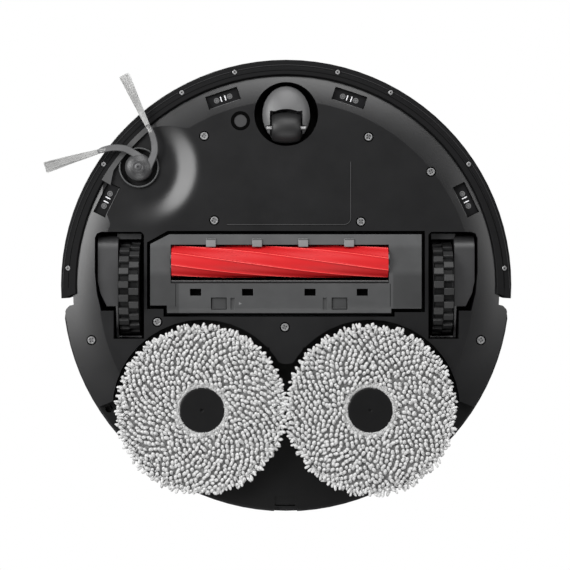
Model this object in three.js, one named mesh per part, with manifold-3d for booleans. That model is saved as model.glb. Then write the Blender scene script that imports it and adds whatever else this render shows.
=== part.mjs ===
// Round robot vacuum with two spinning mops, in millimetres.
// +Z is up, the front (the bumper side) faces -Y, and the floor is the plane z = 0.
// Everything is drawn round the body's own vertical axis; the whole group is then shifted along X, so that
// the origin is under the middle of the bounding box, which the side brush widens on one side.
import * as THREE from "three";
import { mergeVertices } from "three/addons/utils/BufferGeometryUtils.js";
import Module from "manifold-3d";

const wasm = await Module();
wasm.setup();

// ---------------------------------------------------------------- driving dimensions
const BODY_X = 6; // the body's axis, from the origin
const GAP = 0.3; // between pieces that touch
const FACETS = 96; // sides of the large round shells
const HIDDEN = 24; // and of the hollows inside them
const WALL = 2.5;

const FLAT_R = 145; // the flat middle of the underside
const FLAT_Z = 10; // ground clearance
const CORE_R = 160; // body wall behind the bumper
const FLANGE_R = 166; // edge of the underside above the bumper trim
const REAR_R = 175; // outside of the rear shell
const BASE_REAR_R = 173.2; // edge of the underside at the rear
const REAR_WALL_R = 170;
const SPLIT_Z = 40; // where the base meets the top shell
const TOP_Z = 79;
const TOP_R = 165.5; // top plate in front
const REAR_LOW_Z = 26; // lower edge of the rear shell
const REAR_HIGH_Z = 66;

const BUMPER = { y: -2.4, outer: 175.5, thick: 3, low: 15.5, high: 74.5 };
const TRIM = { inner: 163.5, outer: 174.8, low: 12.4, lip: 0.9, wall: 169.3 };

const CASTER = { y: -135, well: 24.8, rim: 13, trail: 10.6, wheelR: 12, wheelWide: 22.4, axleR: 1.5 };
const LIP_REACH = 160.8; // the pit's lip stops short of the bumper's travel
const SIDE = { x: -114.5, y: -93.8, hubR: 10.6, floor: 15.8, dishR: 47, pitR: 14.9 };
const ROLLER = { y: -20.6, z: 14, r: 12.5, left: -88.8, right: 79, fins: 8, twist: 1.93, pinR: 2.2 };
const COVER = { low: 7.6, high: 11.4, left: -105.3, right: 104.9, front: -41.6, rear: 19.5 };
const WINDOW = { left: -89.4, right: 79.6, front: -33.6, rear: -3.7 };
const WHEEL = { x: 121.8, r: 36.8, wide: 16.4, rimR: 29, pivotY: -30, pivotZ: 26, axleR: 4 };
const MOP = { x: 65.1, y: 94.5, padR: 64.6, hubR: 17.3, discR: 58, recessR: 70, ceiling: 25 };
const TURRET = { y: -45, capR: 47.5, rotorR: 40, boreR: 37 };
const BIN = { x: 79, front: 19, rear: 83, low: 36, high: 72, wall: 2 };
const LID = { front: 11, r: 157, thick: 1.8, corner: 12 };

const SCREW = { headR: 3.1, seatR: 4, headThick: 0.9, shankR: 1.5, shankLong: 8 };
const SCREWS = [
  [-63.6, -118],
  [63.9, -117.3],
  [112.3, -90.2],
  [-55.8, -52.5],
  [58, -51.5],
  [-100, 26.3],
  [-1, 30.4],
  [-151.3, 40.5],
  [151.3, 40.5],
];
const CLIFF = { r: 155.5, angles: [-63.8, -18.4, 18.4, 63.8], long: 25.4, wide: 10, face: 16.8 };

// ---------------------------------------------------------------- materials
function finish(color, roughness, metalness = 0) {
  return new THREE.MeshStandardMaterial({ color, roughness, metalness });
}
const M = {
  black: finish(0x242526, 0.5),
  trim: finish(0x1b1c1d, 0.45),
  gloss: finish(0x101112, 0.2),
  grey: finish(0x505254, 0.5),
  rubber: finish(0x2c2d2e, 0.8),
  red: finish(0xc01822, 0.5),
  steel: finish(0xb4b6b8, 0.35, 1),
  cloth: finish(0xc6c5c3, 0.95),
  bristle: finish(0xb4b4b4, 0.7),
  lens: finish(0x0a0a0c, 0.1),
  board: finish(0x1d5b34, 0.6),
  tank: finish(0x6d7f8c, 0.3),
};

// ---------------------------------------------------------------- solids
function solidOf(shape) {
  if (!(shape instanceof THREE.BufferGeometry)) return shape;
  const bare = new THREE.BufferGeometry();
  const source = shape.index ? shape.toNonIndexed() : shape;
  bare.setAttribute("position", source.getAttribute("position"));
  const merged = mergeVertices(bare, 1e-4);
  const index = merged.index.array;
  const kept = [];
  for (let i = 0; i < index.length; i += 3) {
    const [a, b, c] = [index[i], index[i + 1], index[i + 2]];
    if (a !== b && b !== c && a !== c) kept.push(a, b, c);
  }
  const vertProperties = merged.attributes.position.array;
  const mesh = new wasm.Mesh({ numProp: 3, vertProperties, triVerts: new Uint32Array(kept) });
  return new wasm.Manifold(mesh);
}

function join(...shapes) {
  return shapes.map(solidOf).reduce((a, b) => a.add(b));
}

function cut(shape, ...tools) {
  return tools.map(solidOf).reduce((a, b) => a.subtract(b), solidOf(shape));
}

function meet(...shapes) {
  return shapes.map(solidOf).reduce((a, b) => a.intersect(b));
}

function geometryOf(solid) {
  const mesh = solid.getMesh();
  const geometry = new THREE.BufferGeometry();
  geometry.setAttribute("position", new THREE.BufferAttribute(mesh.vertProperties, 3));
  geometry.setIndex(new THREE.BufferAttribute(mesh.triVerts, 1));
  return geometry;
}

function block(x0, x1, y0, y1, z0, z1) {
  const box = new THREE.BoxGeometry(x1 - x0, y1 - y0, z1 - z0);
  return box.translate((x0 + x1) / 2, (y0 + y1) / 2, (z0 + z1) / 2);
}

// A round bar along Z.
function bar(r, z0, z1, x = 0, y = 0, sides = 24) {
  const cylinder = new THREE.CylinderGeometry(r, r, z1 - z0, sides).rotateX(Math.PI / 2);
  return cylinder.translate(x, y, (z0 + z1) / 2);
}

// A round bar along X.
function barX(r, x0, x1, y, z, sides = 16) {
  const cylinder = new THREE.CylinderGeometry(r, r, x1 - x0, sides).rotateZ(Math.PI / 2);
  return cylinder.translate((x0 + x1) / 2, y, z);
}

// A profile of [radius, height] points, turned about a vertical axis.
function turned(profile, x = 0, y = 0, sides = FACETS) {
  const points = profile.map(([r, z]) => new THREE.Vector2(r, z));
  const lathe = new THREE.LatheGeometry(points, sides).rotateX(Math.PI / 2);
  return lathe.translate(x, y, 0);
}

// A closed ring: its section's corners run anticlockwise in the (radius, height) plane.
function ring(section, x = 0, y = 0, sides = FACETS) {
  return turned([...section, section[0]], x, y, sides);
}

// A flat outline in XY, raised from z0 to z1.
function prism(outline, z0, z1) {
  const shape = outline instanceof THREE.Shape ? outline : polygon(outline);
  const options = { depth: z1 - z0, bevelEnabled: false, curveSegments: 4 };
  return new THREE.ExtrudeGeometry(shape, options).translate(0, 0, z0);
}

function polygon(points) {
  return new THREE.Shape(points.map(([x, y]) => new THREE.Vector2(x, y)));
}

// An outline of [y, z] points, raised along X from x0 to x1.
function prismX(points, x0, x1) {
  const options = { depth: x1 - x0, bevelEnabled: false, curveSegments: 4 };
  const raised = new THREE.ExtrudeGeometry(polygon(points), options);
  const toX = new THREE.Matrix4().set(0, 0, 1, x0, 1, 0, 0, 0, 0, 1, 0, 0, 0, 0, 0, 1);
  return raised.applyMatrix4(toX);
}

function roundedBox(x0, x1, y0, y1, r, z0, z1) {
  const shape = new THREE.Shape();
  shape.moveTo(x0 + r, y0).lineTo(x1 - r, y0).absarc(x1 - r, y0 + r, r, -Math.PI / 2, 0);
  shape.lineTo(x1, y1 - r).absarc(x1 - r, y1 - r, r, 0, Math.PI / 2);
  shape.lineTo(x0 + r, y1).absarc(x0 + r, y1 - r, r, Math.PI / 2, Math.PI);
  shape.lineTo(x0, y0 + r).absarc(x0 + r, y0 + r, r, Math.PI, 1.5 * Math.PI);
  return prism(shape, z0, z1);
}

function mirrorX(points) {
  return points.map(([x, y]) => [-x, y]).reverse();
}

function arcPoints(cx, cy, r, from, to, steps) {
  const points = [];
  for (let i = 0; i <= steps; i++) {
    const a = from + ((to - from) * i) / steps;
    points.push([cx + r * Math.cos(a), cy + r * Math.sin(a)]);
  }
  return points;
}

const robot = new THREE.Group();
robot.position.x = BODY_X;

function add(name, shape, material) {
  const mesh = new THREE.Mesh(geometryOf(solidOf(shape)), material);
  mesh.name = name;
  robot.add(mesh);
}

// ---------------------------------------------------------------- outlines that several shells share
// The rear part is wider than the front. Its shoulder is just behind the bumper's end on each side.
function rearMask(inset = 0) {
  const half = 161 - inset;
  const y = 12.8 + inset;
  const shape = new THREE.Shape();
  shape.moveTo(-200, 200).lineTo(-200, 27 + inset).lineTo(-173.6, 27 + inset);
  shape.quadraticCurveTo(-173.6, y, -165, y).lineTo(-half, y).lineTo(-half, 5).lineTo(half, 5);
  shape.lineTo(half, y).lineTo(165, y).quadraticCurveTo(173.6, y, 173.6, 27 + inset);
  shape.lineTo(200, 27 + inset).lineTo(200, 200);
  return prism(shape, 0, 120);
}

function bumperMask(z0 = 0, z1 = 120) {
  const end = [
    [-155, 3],
    [-165, 4.7],
    [-174, 8],
    [-200, 8],
    [-200, -200],
    [200, -200],
    [200, 8],
    [174, 8],
    [165, 4.7],
    [155, 3],
  ];
  return prism(end, z0, z1);
}

// The wheel well on the right. It is wide beside the gearbox and narrow behind it.
function wellOutline(grow = 0) {
  return [
    [110.3 - grow, -41.4 - grow],
    [112.6 - grow, -43.7 - grow],
    [143.6 + grow, -43.7 - grow],
    [147 + grow, -42.4 - grow],
    [148.6 + grow, -39],
    [148.6 + grow, -12],
    [147 + grow, 4],
    [143.6 + grow, 17.6 + grow],
    [134 + grow, 17.6 + grow],
    [134 + grow, 39.4 + grow],
    [110.3 - grow, 39.4 + grow],
  ];
}

// The main brush's cover: its corner at the left front is cut off, and its middle reaches further back.
function coverOutline(grow = 0) {
  const { left, right, front, rear } = COVER;
  return [
    [left - grow, 13.5 + grow],
    [left - grow, front + 7.5 - grow / 2],
    [left + 14.7 - grow / 2, front - grow],
    [right + grow, front - grow],
    [right + grow, 16 + grow],
    [81.5 + grow, 16 + grow],
    [81.5 + grow, rear + grow],
    [-92.5 - grow, rear + grow],
    [-92.5 - grow, 13.5 + grow],
  ];
}

// The space for the mops: a circle round each, everything behind them, and the nook between them.
function mopRecess(grow, z0, z1, sides = 40) {
  const circles = [-MOP.x, MOP.x].map((x) => bar(MOP.recessR + grow, z0, z1, x, MOP.y, sides));
  const behind = prism(
    [
      [-180, 107 - grow],
      [-132.6, 87 - grow],
      [132.6, 87 - grow],
      [180, 107 - grow],
      [180, 180],
      [-180, 180],
    ],
    z0,
    z1,
  );
  const tongue = bar(13 - grow, z0 - 1, z1 + 1, 0, 46, sides / 2);
  const nook = cut(block(-20, 20, 46 - grow, 90, z0, z1), tongue);
  const nookSides = block(-13 + grow, 13 - grow, 30, 46, z0 - 1, z1 + 1);
  return join(...circles, behind, cut(nook, nookSides));
}

// ---------------------------------------------------------------- the base
function dishCutter() {
  const points = [[0, FLAT_Z - 5]];
  const flat = 22;
  const steps = 4;
  points.push([SIDE.dishR + 6, FLAT_Z - 5], [SIDE.dishR, FLAT_Z]);
  for (let i = 1; i <= steps; i++) {
    const t = i / steps;
    const ease = t * t * (3 - 2 * t);
    points.push([SIDE.dishR + (flat - SIDE.dishR) * t, FLAT_Z + (SIDE.floor - FLAT_Z) * ease]);
  }
  points.push([0, SIDE.floor]);
  return turned(points, SIDE.x, SIDE.y, 32);
}

// The underside curves up round its flat middle: [radius, height] points of the front and of the rear.
const FRONT_EDGE = [[FLAT_R, FLAT_Z], [149, 10.6], [154, 11.8], [160, 13.6], [FLANGE_R, 15.7]];
const REAR_EDGE = [[FLAT_R, FLAT_Z], [149, 10.6], [155, 12], [163, 14.3], [BASE_REAR_R, 17.7]];

function screwSeatZ(x, y) {
  const r = Math.hypot(x, y);
  const i = REAR_EDGE.findIndex(([edge]) => edge > r);
  if (i < 1) return FLAT_Z;
  const [r0, z0] = REAR_EDGE[i - 1];
  const [r1, z1] = REAR_EDGE[i];
  return z0 + ((z1 - z0) * (r - r0)) / (r1 - r0);
}

function cliffBlock(angle, grow, z0, z1) {
  const box = new THREE.BoxGeometry(CLIFF.long + grow, CLIFF.wide + grow, z1 - z0);
  box.translate(0, -CLIFF.r, (z0 + z1) / 2);
  return box.rotateZ(THREE.MathUtils.degToRad(angle));
}

function baseShell() {
  const bevelIn = [FLAT_R - 0.7, FLAT_Z + WALL];
  const front = turned([
    [0, FLAT_Z],
    ...FRONT_EDGE,
    [FLANGE_R, 20.5],
    [CORE_R, 20.5],
    [CORE_R, SPLIT_Z],
    [0, SPLIT_Z],
  ]);
  const rear = turned([
    [0, FLAT_Z],
    ...REAR_EDGE,
    [BASE_REAR_R, REAR_LOW_Z],
    [REAR_WALL_R, REAR_LOW_Z],
    [REAR_WALL_R, SPLIT_Z],
    [0, SPLIT_Z],
  ]);
  const frontCavity = turned([
    [0, FLAT_Z + WALL],
    bevelIn,
    [CORE_R - WALL, 17.6],
    [CORE_R - WALL, SPLIT_Z + 1],
    [0, SPLIT_Z + 1],
  ], 0, 0, HIDDEN);
  const rearCavity = turned([
    [0, FLAT_Z + WALL],
    bevelIn,
    [REAR_WALL_R - WALL, 21.2],
    [REAR_WALL_R - WALL, SPLIT_Z + 1],
    [0, SPLIT_Z + 1],
  ], 0, 0, HIDDEN);
  const cavity = cut(
    join(frontCavity, meet(rearCavity, rearMask(WALL))),
    mopRecess(WALL, 0, MOP.ceiling + WALL, 20),
    bar(SIDE.dishR + 3, 0, SIDE.floor + WALL, SIDE.x, SIDE.y, 24),
    bar(SIDE.pitR + WALL, 0, 22.5, SIDE.x, SIDE.y, 16),
    bar(CASTER.well + 5, 0, 20, 0, CASTER.y, 20),
    prism(wellOutline(2), 0, 38),
    prism(mirrorX(wellOutline(2)), 0, 38),
    prism(coverOutline(4.5), 0, 24),
  );
  return cut(join(front, meet(rear, rearMask())), cavity);
}

function chassisBase() {
  const cuts = [
    dishCutter(),
    bar(SIDE.pitR, 0, 20, SIDE.x, SIDE.y),
    bar(4, 0, 30, SIDE.x, SIDE.y),
    mopRecess(0, 0, MOP.ceiling),
    prism(wellOutline(), 0, 50),
    prism(mirrorX(wellOutline()), 0, 50),
    prism(coverOutline(2.7), 0, 30),
    bar(CASTER.well, 0, 50, 0, CASTER.y, 48),
    bar(CASTER.well + 2, CASTER.rim, 50, 0, CASTER.y, 36),
    bar(6.5, 0, 13.5, -35.5, CASTER.y + 5.2),
    bar(3, 20, 30, -138.6, MOP.y, 20),
    block(-9, 7, 163, 170.5, 20, 26.3),
    block(-9.5, 8.5, 171.5, 180, 10, 60),
  ];
  for (const x of [-MOP.x, MOP.x]) cuts.push(bar(15, 20, 30, x, MOP.y));
  for (const angle of CLIFF.angles) cuts.push(cliffBlock(angle, 0.6, 5, 19.5));
  for (const [x, y] of SCREWS) {
    const z = screwSeatZ(x, y);
    cuts.push(bar(SCREW.seatR, z - 3, z + 1.4, x, y, 20), bar(SCREW.shankR + 0.3, z, z + 8, x, y, 6));
  }
  const lip = ring(
    [
      [SIDE.pitR, 13.4],
      [SIDE.pitR + 1, 13.4],
      [SIDE.pitR + 1, 16.5],
      [SIDE.pitR, 16.5],
    ],
    SIDE.x,
    SIDE.y,
    24,
  );
  const { well } = CASTER;
  const collar = ring(
    [[well, 9.6], [well + 0.5, 9.4], [well + 3.6, FLAT_Z + 0.1], [well + 3.6, 12], [well, 12]],
    0,
    CASTER.y,
    48,
  );
  return join(cut(baseShell(), ...cuts), collar, meet(lip, bar(LIP_REACH, 0, 20, 0, 0, 60)));
}
add("chassis_base", chassisBase(), M.black);

SCREWS.forEach(([x, y], i) => {
  const z = screwSeatZ(x, y) + 0.2;
  const head = bar(SCREW.headR, z, z + SCREW.headThick, x, y, 16);
  const shank = bar(SCREW.shankR, z + SCREW.headThick - 0.1, z + SCREW.shankLong, x, y, 5);
  const cross = [block(x - 2, x + 2, y - 0.5, y + 0.5, z - 1, z + 0.6)];
  cross.push(block(x - 0.5, x + 0.5, y - 2, y + 2, z - 1, z + 0.6));
  add(`chassis_screw_${i + 1}`, cut(join(head, shank), ...cross), M.steel);
});

CLIFF.angles.forEach((angle, i) => {
  add(`cliff_sensor_${i + 1}`, cliffBlock(angle, 0, CLIFF.face, 19.2), M.lens);
});
add("carpet_sensor", bar(5.2, FLAT_Z + 0.5, 13.2, -35.5, CASTER.y + 5.2), M.grey);

// ---------------------------------------------------------------- rear shell, contacts and top shell
function rearShell() {
  const wall = meet(
    ring([
      [REAR_R - 3, REAR_LOW_Z + GAP],
      [REAR_R, REAR_LOW_Z + GAP],
      [REAR_R, REAR_HIGH_Z],
      [REAR_R - 3, REAR_HIGH_Z],
    ]),
    rearMask(),
  );
  const cuts = [block(-9.5, 8.5, 168, 180, 20, 31)];
  for (const side of [-1, 1]) {
    cuts.push(block(side * 24 - 10, side * 24 + 10, 168, 180, 33, 43));
  }
  const vents = 14;
  for (let i = 0; i < vents; i++) {
    const slot = block(-1, 1, 165, 180, 44, 58);
    cuts.push(slot.rotateZ(THREE.MathUtils.degToRad(-30 - 2.2 * i)));
  }
  return cut(wall, ...cuts);
}
add("rear_shell", rearShell(), M.gloss);
for (const [side, name] of [[-1, "left"], [1, "right"]]) {
  const plate = block(side * 24 - 9, side * 24 + 9, 170.8, 172.2, 34, 42);
  add(`charging_contact_${name}`, plate, M.steel);
}

function lidOutline(grow) {
  const r = LID.r + grow;
  const front = LID.front - grow;
  const start = Math.asin(front / r) + 0.09;
  const arc = arcPoints(0, 0, r, start, Math.PI - start, 40);
  const inset = r * Math.cos(start) - LID.corner * 0.55;
  return [[inset, front], ...arc, [-inset, front]];
}

function topShell() {
  const z = SPLIT_Z + GAP;
  const front = turned([
    [0, z],
    [CORE_R, z],
    [CORE_R, 75],
    [TOP_R, 75],
    [TOP_R, 77.2],
    [TOP_R - 1.8, TOP_Z],
    [0, TOP_Z],
  ]);
  const rear = turned([
    [0, z],
    [REAR_WALL_R, z],
    [REAR_WALL_R, REAR_HIGH_Z + GAP],
    [REAR_R, REAR_HIGH_Z + GAP],
    [REAR_R, 69],
    [173.8, 73.2],
    [170.6, 76.4],
    [165.5, 78.4],
    [160, TOP_Z],
    [0, TOP_Z],
  ]);
  const rearCavity = meet(bar(REAR_WALL_R - WALL, 0, 75, 0, 0, HIDDEN), rearMask(WALL));
  const cavity = join(bar(CORE_R - WALL, 0, 75, 0, 0, HIDDEN), rearCavity);
  const wells = [wellOutline(), mirrorX(wellOutline())].map((o) => prism(o, z - 1, 76.2));
  return cut(
    join(front, meet(rear, rearMask())),
    cavity,
    ...wells,
    prism(lidOutline(0.4), 77, 90),
    block(-BIN.x - 3, BIN.x + 3, BIN.front - 3, BIN.rear + 3, 60, 90),
    bar(TURRET.boreR, 60, 90, 0, TURRET.y, 24),
    bar(6.9, 60, 90, -13, -117, 20),
    bar(6.9, 60, 90, 13, -117, 20),
  );
}
add("top_shell", topShell(), M.black);

// ---------------------------------------------------------------- top lid and dust bin
add("top_lid", prism(lidOutline(0), 77.2, 77.2 + LID.thick), M.gloss);

function dustbinTub() {
  const { x, front, rear, low, high, wall } = BIN;
  const inside = roundedBox(-x + wall, x - wall, front + wall, rear - wall, 4, low + wall, high + 1);
  const inlet = block(-18, 18, front - 1, front + wall + 1, 46, 59.5);
  return cut(roundedBox(-x, x, front, rear, 6, low, high), inside, inlet);
}
add("dustbin_tub", dustbinTub(), M.tank);

function dustbinLid() {
  const { x, front, rear, high } = BIN;
  const plate = roundedBox(-x, x, front, rear, 6, high + GAP, 76.6);
  const grip = [-1, 1].map((s) => roundedBox(s * 26 - 14, s * 26 + 14, 44, 58, 5, 74.2, 80));
  return cut(plate, ...grip);
}
add("dustbin_lid", dustbinLid(), M.grey);

// ---------------------------------------------------------------- inside the body
add("battery_pack", roundedBox(-46, 46, -103, -53, 6, 12.9, 35), M.grey);
add("main_board", block(-60, 60, -104, -60, 45, 46.6), M.board);
add("brush_motor", barX(9, 50, 100, ROLLER.y, 44), M.steel);
add("side_brush_motor", join(bar(8, 23, 45, SIDE.x, SIDE.y, 12), bar(12, 23, 45, -101, -83, 16)), M.grey);
add("suction_fan", join(bar(18, 54, 70, 48, 108), bar(12, 69, 74, 48, 108, 16)), M.grey);

function waterTank() {
  const arc = arcPoints(0, 0, 163, Math.asin(122 / 163), Math.PI - Math.asin(122 / 163), 16);
  return prism(arc, 30, 50);
}
add("water_tank", waterTank(), M.tank);

// ---------------------------------------------------------------- bumper
function bumperShell() {
  const { outer, thick, low, high, y } = BUMPER;
  const inner = outer - thick;
  const section = [
    [inner - 1.5, low],
    [outer - 1.2, low],
    [outer, low + 2],
    [outer, 65],
    [outer - 1.3, 70],
    [outer - 4.2, 73.4],
    [outer - 7.5, high],
    [163.2, high],
    [163.2, high - 2],
    [inner - 1.6, 69],
    [inner, 65],
    [inner, low + 2.5],
    [inner - 1.5, low + 2.2],
  ];
  return meet(ring(section, 0, y), bumperMask());
}

const PANE = { low: 40, high: 60, half: 27 }; // the sensor pane in the bumper's front

function paneWedge(half, low, high) {
  const reach = 220;
  const spread = reach * Math.tan(THREE.MathUtils.degToRad(half));
  return prism([[0, 0], [-spread, -reach], [spread, -reach]], low, high);
}
add("bumper_shell", cut(bumperShell(), paneWedge(PANE.half + 0.1, PANE.low, PANE.high)), M.gloss);

function bumperWindow() {
  const { outer, y } = BUMPER;
  const low = PANE.low + GAP;
  const high = PANE.high - GAP;
  const pane = ring(
    [
      [outer - 2.6, low],
      [outer - 0.2, low],
      [outer - 0.2, high],
      [outer - 2.6, high],
    ],
    0,
    y,
  );
  return meet(pane, paneWedge(PANE.half, low - 1, high + 1));
}
add("bumper_window", bumperWindow(), M.lens);

function bumperTrim() {
  const { inner, outer, low, lip, wall } = TRIM;
  const high = BUMPER.low - GAP;
  const section = [
    [inner, low + 0.5],
    [inner + 0.6, low],
    [outer - 5.6, low],
    [outer - 5.2, low + 0.5],
    [outer - 0.8, low + 0.5],
    [outer, low + 1.1],
    [outer, high],
    [wall, high],
    [wall, low + lip],
    [inner, low + lip],
  ];
  return meet(ring(section, 0, BUMPER.y), bumperMask());
}
add("bumper_trim", bumperTrim(), M.trim);

// ---------------------------------------------------------------- lidar turret and buttons
function turretBase() {
  const low = TOP_Z + GAP;
  const foot = ring([[41, low], [49, low], [49, 81.4], [47.5, 82.8], [41, 82.8]], 0, TURRET.y, 36);
  const posts = [45, 135, 225, 315].map((a) => {
    const t = THREE.MathUtils.degToRad(a);
    return bar(1.8, 82, 90.6, 44.5 * Math.cos(t), TURRET.y + 44.5 * Math.sin(t), 6);
  });
  return join(foot, ...posts);
}
add("turret_base", turretBase(), M.gloss);

function lidarRotor() {
  const drum = bar(TURRET.rotorR, 79.6, 89.6, 0, TURRET.y, 36);
  const hub = bar(34, 70, 80, 0, TURRET.y, 16);
  const sockets = [-9, 9].map((x) => block(x - 5.5, x + 5.5, TURRET.y - 45, TURRET.y - 30, 82, 88));
  return cut(join(drum, hub), ...sockets);
}
add("lidar_rotor", lidarRotor(), M.lens);

const capSection = [[0, 91.8], [TURRET.capR, 91.8], [TURRET.capR, 94.2], [45.6, 96], [42, 96.5], [0, 96.5]];
add("turret_cap", turned(capSection, 0, TURRET.y, 40), M.black);
for (const [name, x] of [["power_button", -13], ["home_button", 13]]) {
  add(name, join(bar(6.5, 77.4, 79.5, x, -117, 20), bar(3, 73, 78, x, -117, 8)), M.gloss);
}

// ---------------------------------------------------------------- caster
function casterSocket() {
  const { well, y } = CASTER;
  const section = [
    [0, 40],
    [0, 37.5],
    [well, 37.5],
    [well, CASTER.rim + GAP],
    [well + 1.6, CASTER.rim + GAP],
    [well + 1.6, 40],
  ];
  return cut(turned([...section, section[0]].slice(1), 0, y, 36), bar(5, 30, 50, 0, y, 12));
}
add("caster_socket", casterSocket(), M.trim);

const casterAxleY = CASTER.y + CASTER.trail;
const FORK = { halfWide: 18.5, halfLong: 22 };

function casterFork() {
  const { y, wheelR } = CASTER;
  const crown = new THREE.CylinderGeometry(1, 1, 14, 28).rotateX(Math.PI / 2);
  crown.scale(FORK.halfWide, FORK.halfLong, 1).translate(0, y, 21);
  const dome = new THREE.SphereGeometry(1, 28, 10).rotateX(Math.PI / 2);
  dome.scale(FORK.halfWide, FORK.halfLong, 8).translate(0, y, 14.2);
  const arch = arcPoints(0, y + 19.8, 23.5, 1.5 * Math.PI - 0.57, 1.5 * Math.PI + 0.57, 10);
  const slot = prism([...arch, [12.7, y + 30], [-12.7, y + 30]], 0, 25.4);
  const throat = barX(wheelR + 1.6, -12.6, 12.6, casterAxleY, wheelR, 24);
  const [snapFront, snapRear] = [casterAxleY - 1.8, casterAxleY + 1.8];
  const snaps = [-14, 14].map((x) => block(x - 1.7, x + 1.7, snapFront, snapRear, 0, wheelR));
  const shaped = cut(
    join(crown, dome),
    slot,
    throat,
    ...snaps,
    barX(CASTER.axleR + GAP, -15.7, 15.7, casterAxleY, wheelR, 16),
    block(-30, 30, casterAxleY + 4.6, y + 40, 0, 25.4),
  );
  return join(shaped, bar(4.5, 27, 42, 0, y, 12));
}
add("caster_fork", casterFork(), M.grey);
add("caster_axle", barX(CASTER.axleR, -15.3, 15.3, casterAxleY, CASTER.wheelR, 16), M.steel);

function casterWheel() {
  const { wheelR, wheelWide, axleR } = CASTER;
  const half = wheelWide / 2;
  const r = wheelR;
  const side = [[r - 3, half], [r - 1.9, half - 1], [r - 1, half - 3], [r - 0.3, half - 6.5]];
  const left = side.map(([radius, x]) => [radius, -x]);
  const profile = [[axleR + GAP, -half], ...left, [r, 0], ...side.reverse(), [axleR + GAP, half]];
  const wheel = ring(profile, 0, 0, 32);
  return wheel.rotateY(Math.PI / 2).translate(0, casterAxleY, r);
}
add("caster_wheel", casterWheel(), M.rubber);

// ---------------------------------------------------------------- side brush
// One arm, seen from below: a rubber strap leaves the hub at a tangent, and a tuft of bristles carries on.
const ARM_POINTS = [
  [9.4, -1.5, 10.6],
  [11.9, -9.5, 8.6],
  [12.6, -16, 7],
  [11.6, -22.4, 5.6],
  [9.7, -27.6, 4.6],
  [7, -32.7, 3.8],
];
const TUFT_TIP = [-10.9, -71, 1.4];
const ARM_TURN = -82; // degrees from the first arm to the second

function armSolid() {
  const tip = new THREE.Vector3(...TUFT_TIP);
  const line = ARM_POINTS.map((p) => new THREE.Vector3(...p));
  const strapPath = new THREE.CatmullRomCurve3(line);
  const end = line.at(-1);
  const steps = 10;
  const rings = [];
  for (let i = 0; i <= steps; i++) {
    const t = i / steps;
    rings.push([strapPath.getPoint(t), strapPath.getTangent(t), 2.9 - 0.6 * t, 1.1]);
  }
  const along = tip.clone().sub(end).normalize();
  rings.push([end.clone().lerp(tip, 0.03), along, 1.7, 0.9]);
  rings.push([tip, along, 4.4, 0.9]);
  const positions = [];
  const up = new THREE.Vector3(0, 0, 1);
  for (const [centre, tangent, half, thick] of rings) {
    const side = tangent.clone().setZ(0).normalize().cross(up);
    for (const [s, h] of [[-1, -1], [1, -1], [1, 1], [-1, 1]]) {
      positions.push(centre.clone().addScaledVector(side, s * half).addScaledVector(up, h * thick));
    }
  }
  const index = [0, 1, 2, 0, 2, 3];
  const last = positions.length - 4;
  for (let i = 0; i < last; i += 4) {
    for (let k = 0; k < 4; k++) {
      const [a, b] = [i + k, i + ((k + 1) % 4)];
      index.push(a, a + 4, b, b, a + 4, b + 4);
    }
  }
  index.push(last, last + 2, last + 1, last, last + 3, last + 2);
  const geometry = new THREE.BufferGeometry().setFromPoints(positions).setIndex(index);
  return geometry;
}

const hubCore = { low: 6.2, high: 17 };

function sideBrushHub() {
  const { x, y, hubR } = SIDE;
  const dome = turned(
    [
      [0, hubCore.low],
      [4.5, hubCore.low],
      [8.6, 7.4],
      [hubR, 9.6],
      [hubR, hubCore.high],
      [0, hubCore.high],
    ],
    x,
    y,
    24,
  );
  const shaft = bar(3, 16, 22.6, x, y, 8);
  return cut(join(dome, shaft), bar(3.1, 0, 8.2, x, y, 12), bar(1.3, 0, 15, x, y, 6));
}

for (const [i, turn] of [[1, 0], [2, ARM_TURN]]) {
  const arm = armSolid().rotateZ(THREE.MathUtils.degToRad(turn)).translate(SIDE.x, SIDE.y, 0);
  const room = turned([[0, 5], [SIDE.hubR + GAP, 5], [SIDE.hubR + GAP, 18], [0, 18]], SIDE.x, SIDE.y, 28);
  add(`side_brush_arm_${i}`, cut(arm, room), M.bristle);
}
add("side_brush_hub", sideBrushHub(), M.rubber);
const screwHead = bar(2.8, 6.6, 7.9, SIDE.x, SIDE.y, 14);
const screwBody = bar(1, 7.8, 14, SIDE.x, SIDE.y, 6);
add("side_brush_screw", cut(join(screwHead, screwBody), block(-116, -113, -94.3, -93.3, 6, 7.2)), M.steel);

// ---------------------------------------------------------------- main brush, its bay and its cover
// A section of rounded ridges, turned as it runs along X.
function rollerSolid() {
  const { y, z, r, left, right, fins, twist, pinR } = ROLLER;
  const around = fins * 3;
  const steps = 12;
  const core = r - 2.1;
  const positions = [];
  for (let i = 0; i <= steps; i++) {
    const t = i / steps;
    for (let k = 0; k < around; k++) {
      const radius = [r, core, core][k % 3];
      const a = (2 * Math.PI * k) / around + twist * t;
      positions.push([left + (right - left) * t, y + radius * Math.sin(a), z - radius * Math.cos(a)]);
    }
  }
  const first = positions.length;
  positions.push([left, y, z], [right, y, z]);
  const index = [];
  for (let k = 0; k < around; k++) {
    const next = (k + 1) % around;
    index.push(first, next, k);
    const end = steps * around;
    index.push(first + 1, end + k, end + next);
    for (let i = 0; i < steps; i++) {
      const a = i * around;
      index.push(a + k, a + next, a + around + k, a + next, a + around + next, a + around + k);
    }
  }
  const points = positions.map((p) => new THREE.Vector3(...p));
  const geometry = new THREE.BufferGeometry().setFromPoints(points).setIndex(index);
  return join(solidOf(geometry), barX(pinR, left - 4, right + 4, y, z, 16));
}
add("main_brush_roller", rollerSolid(), M.red);

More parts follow.
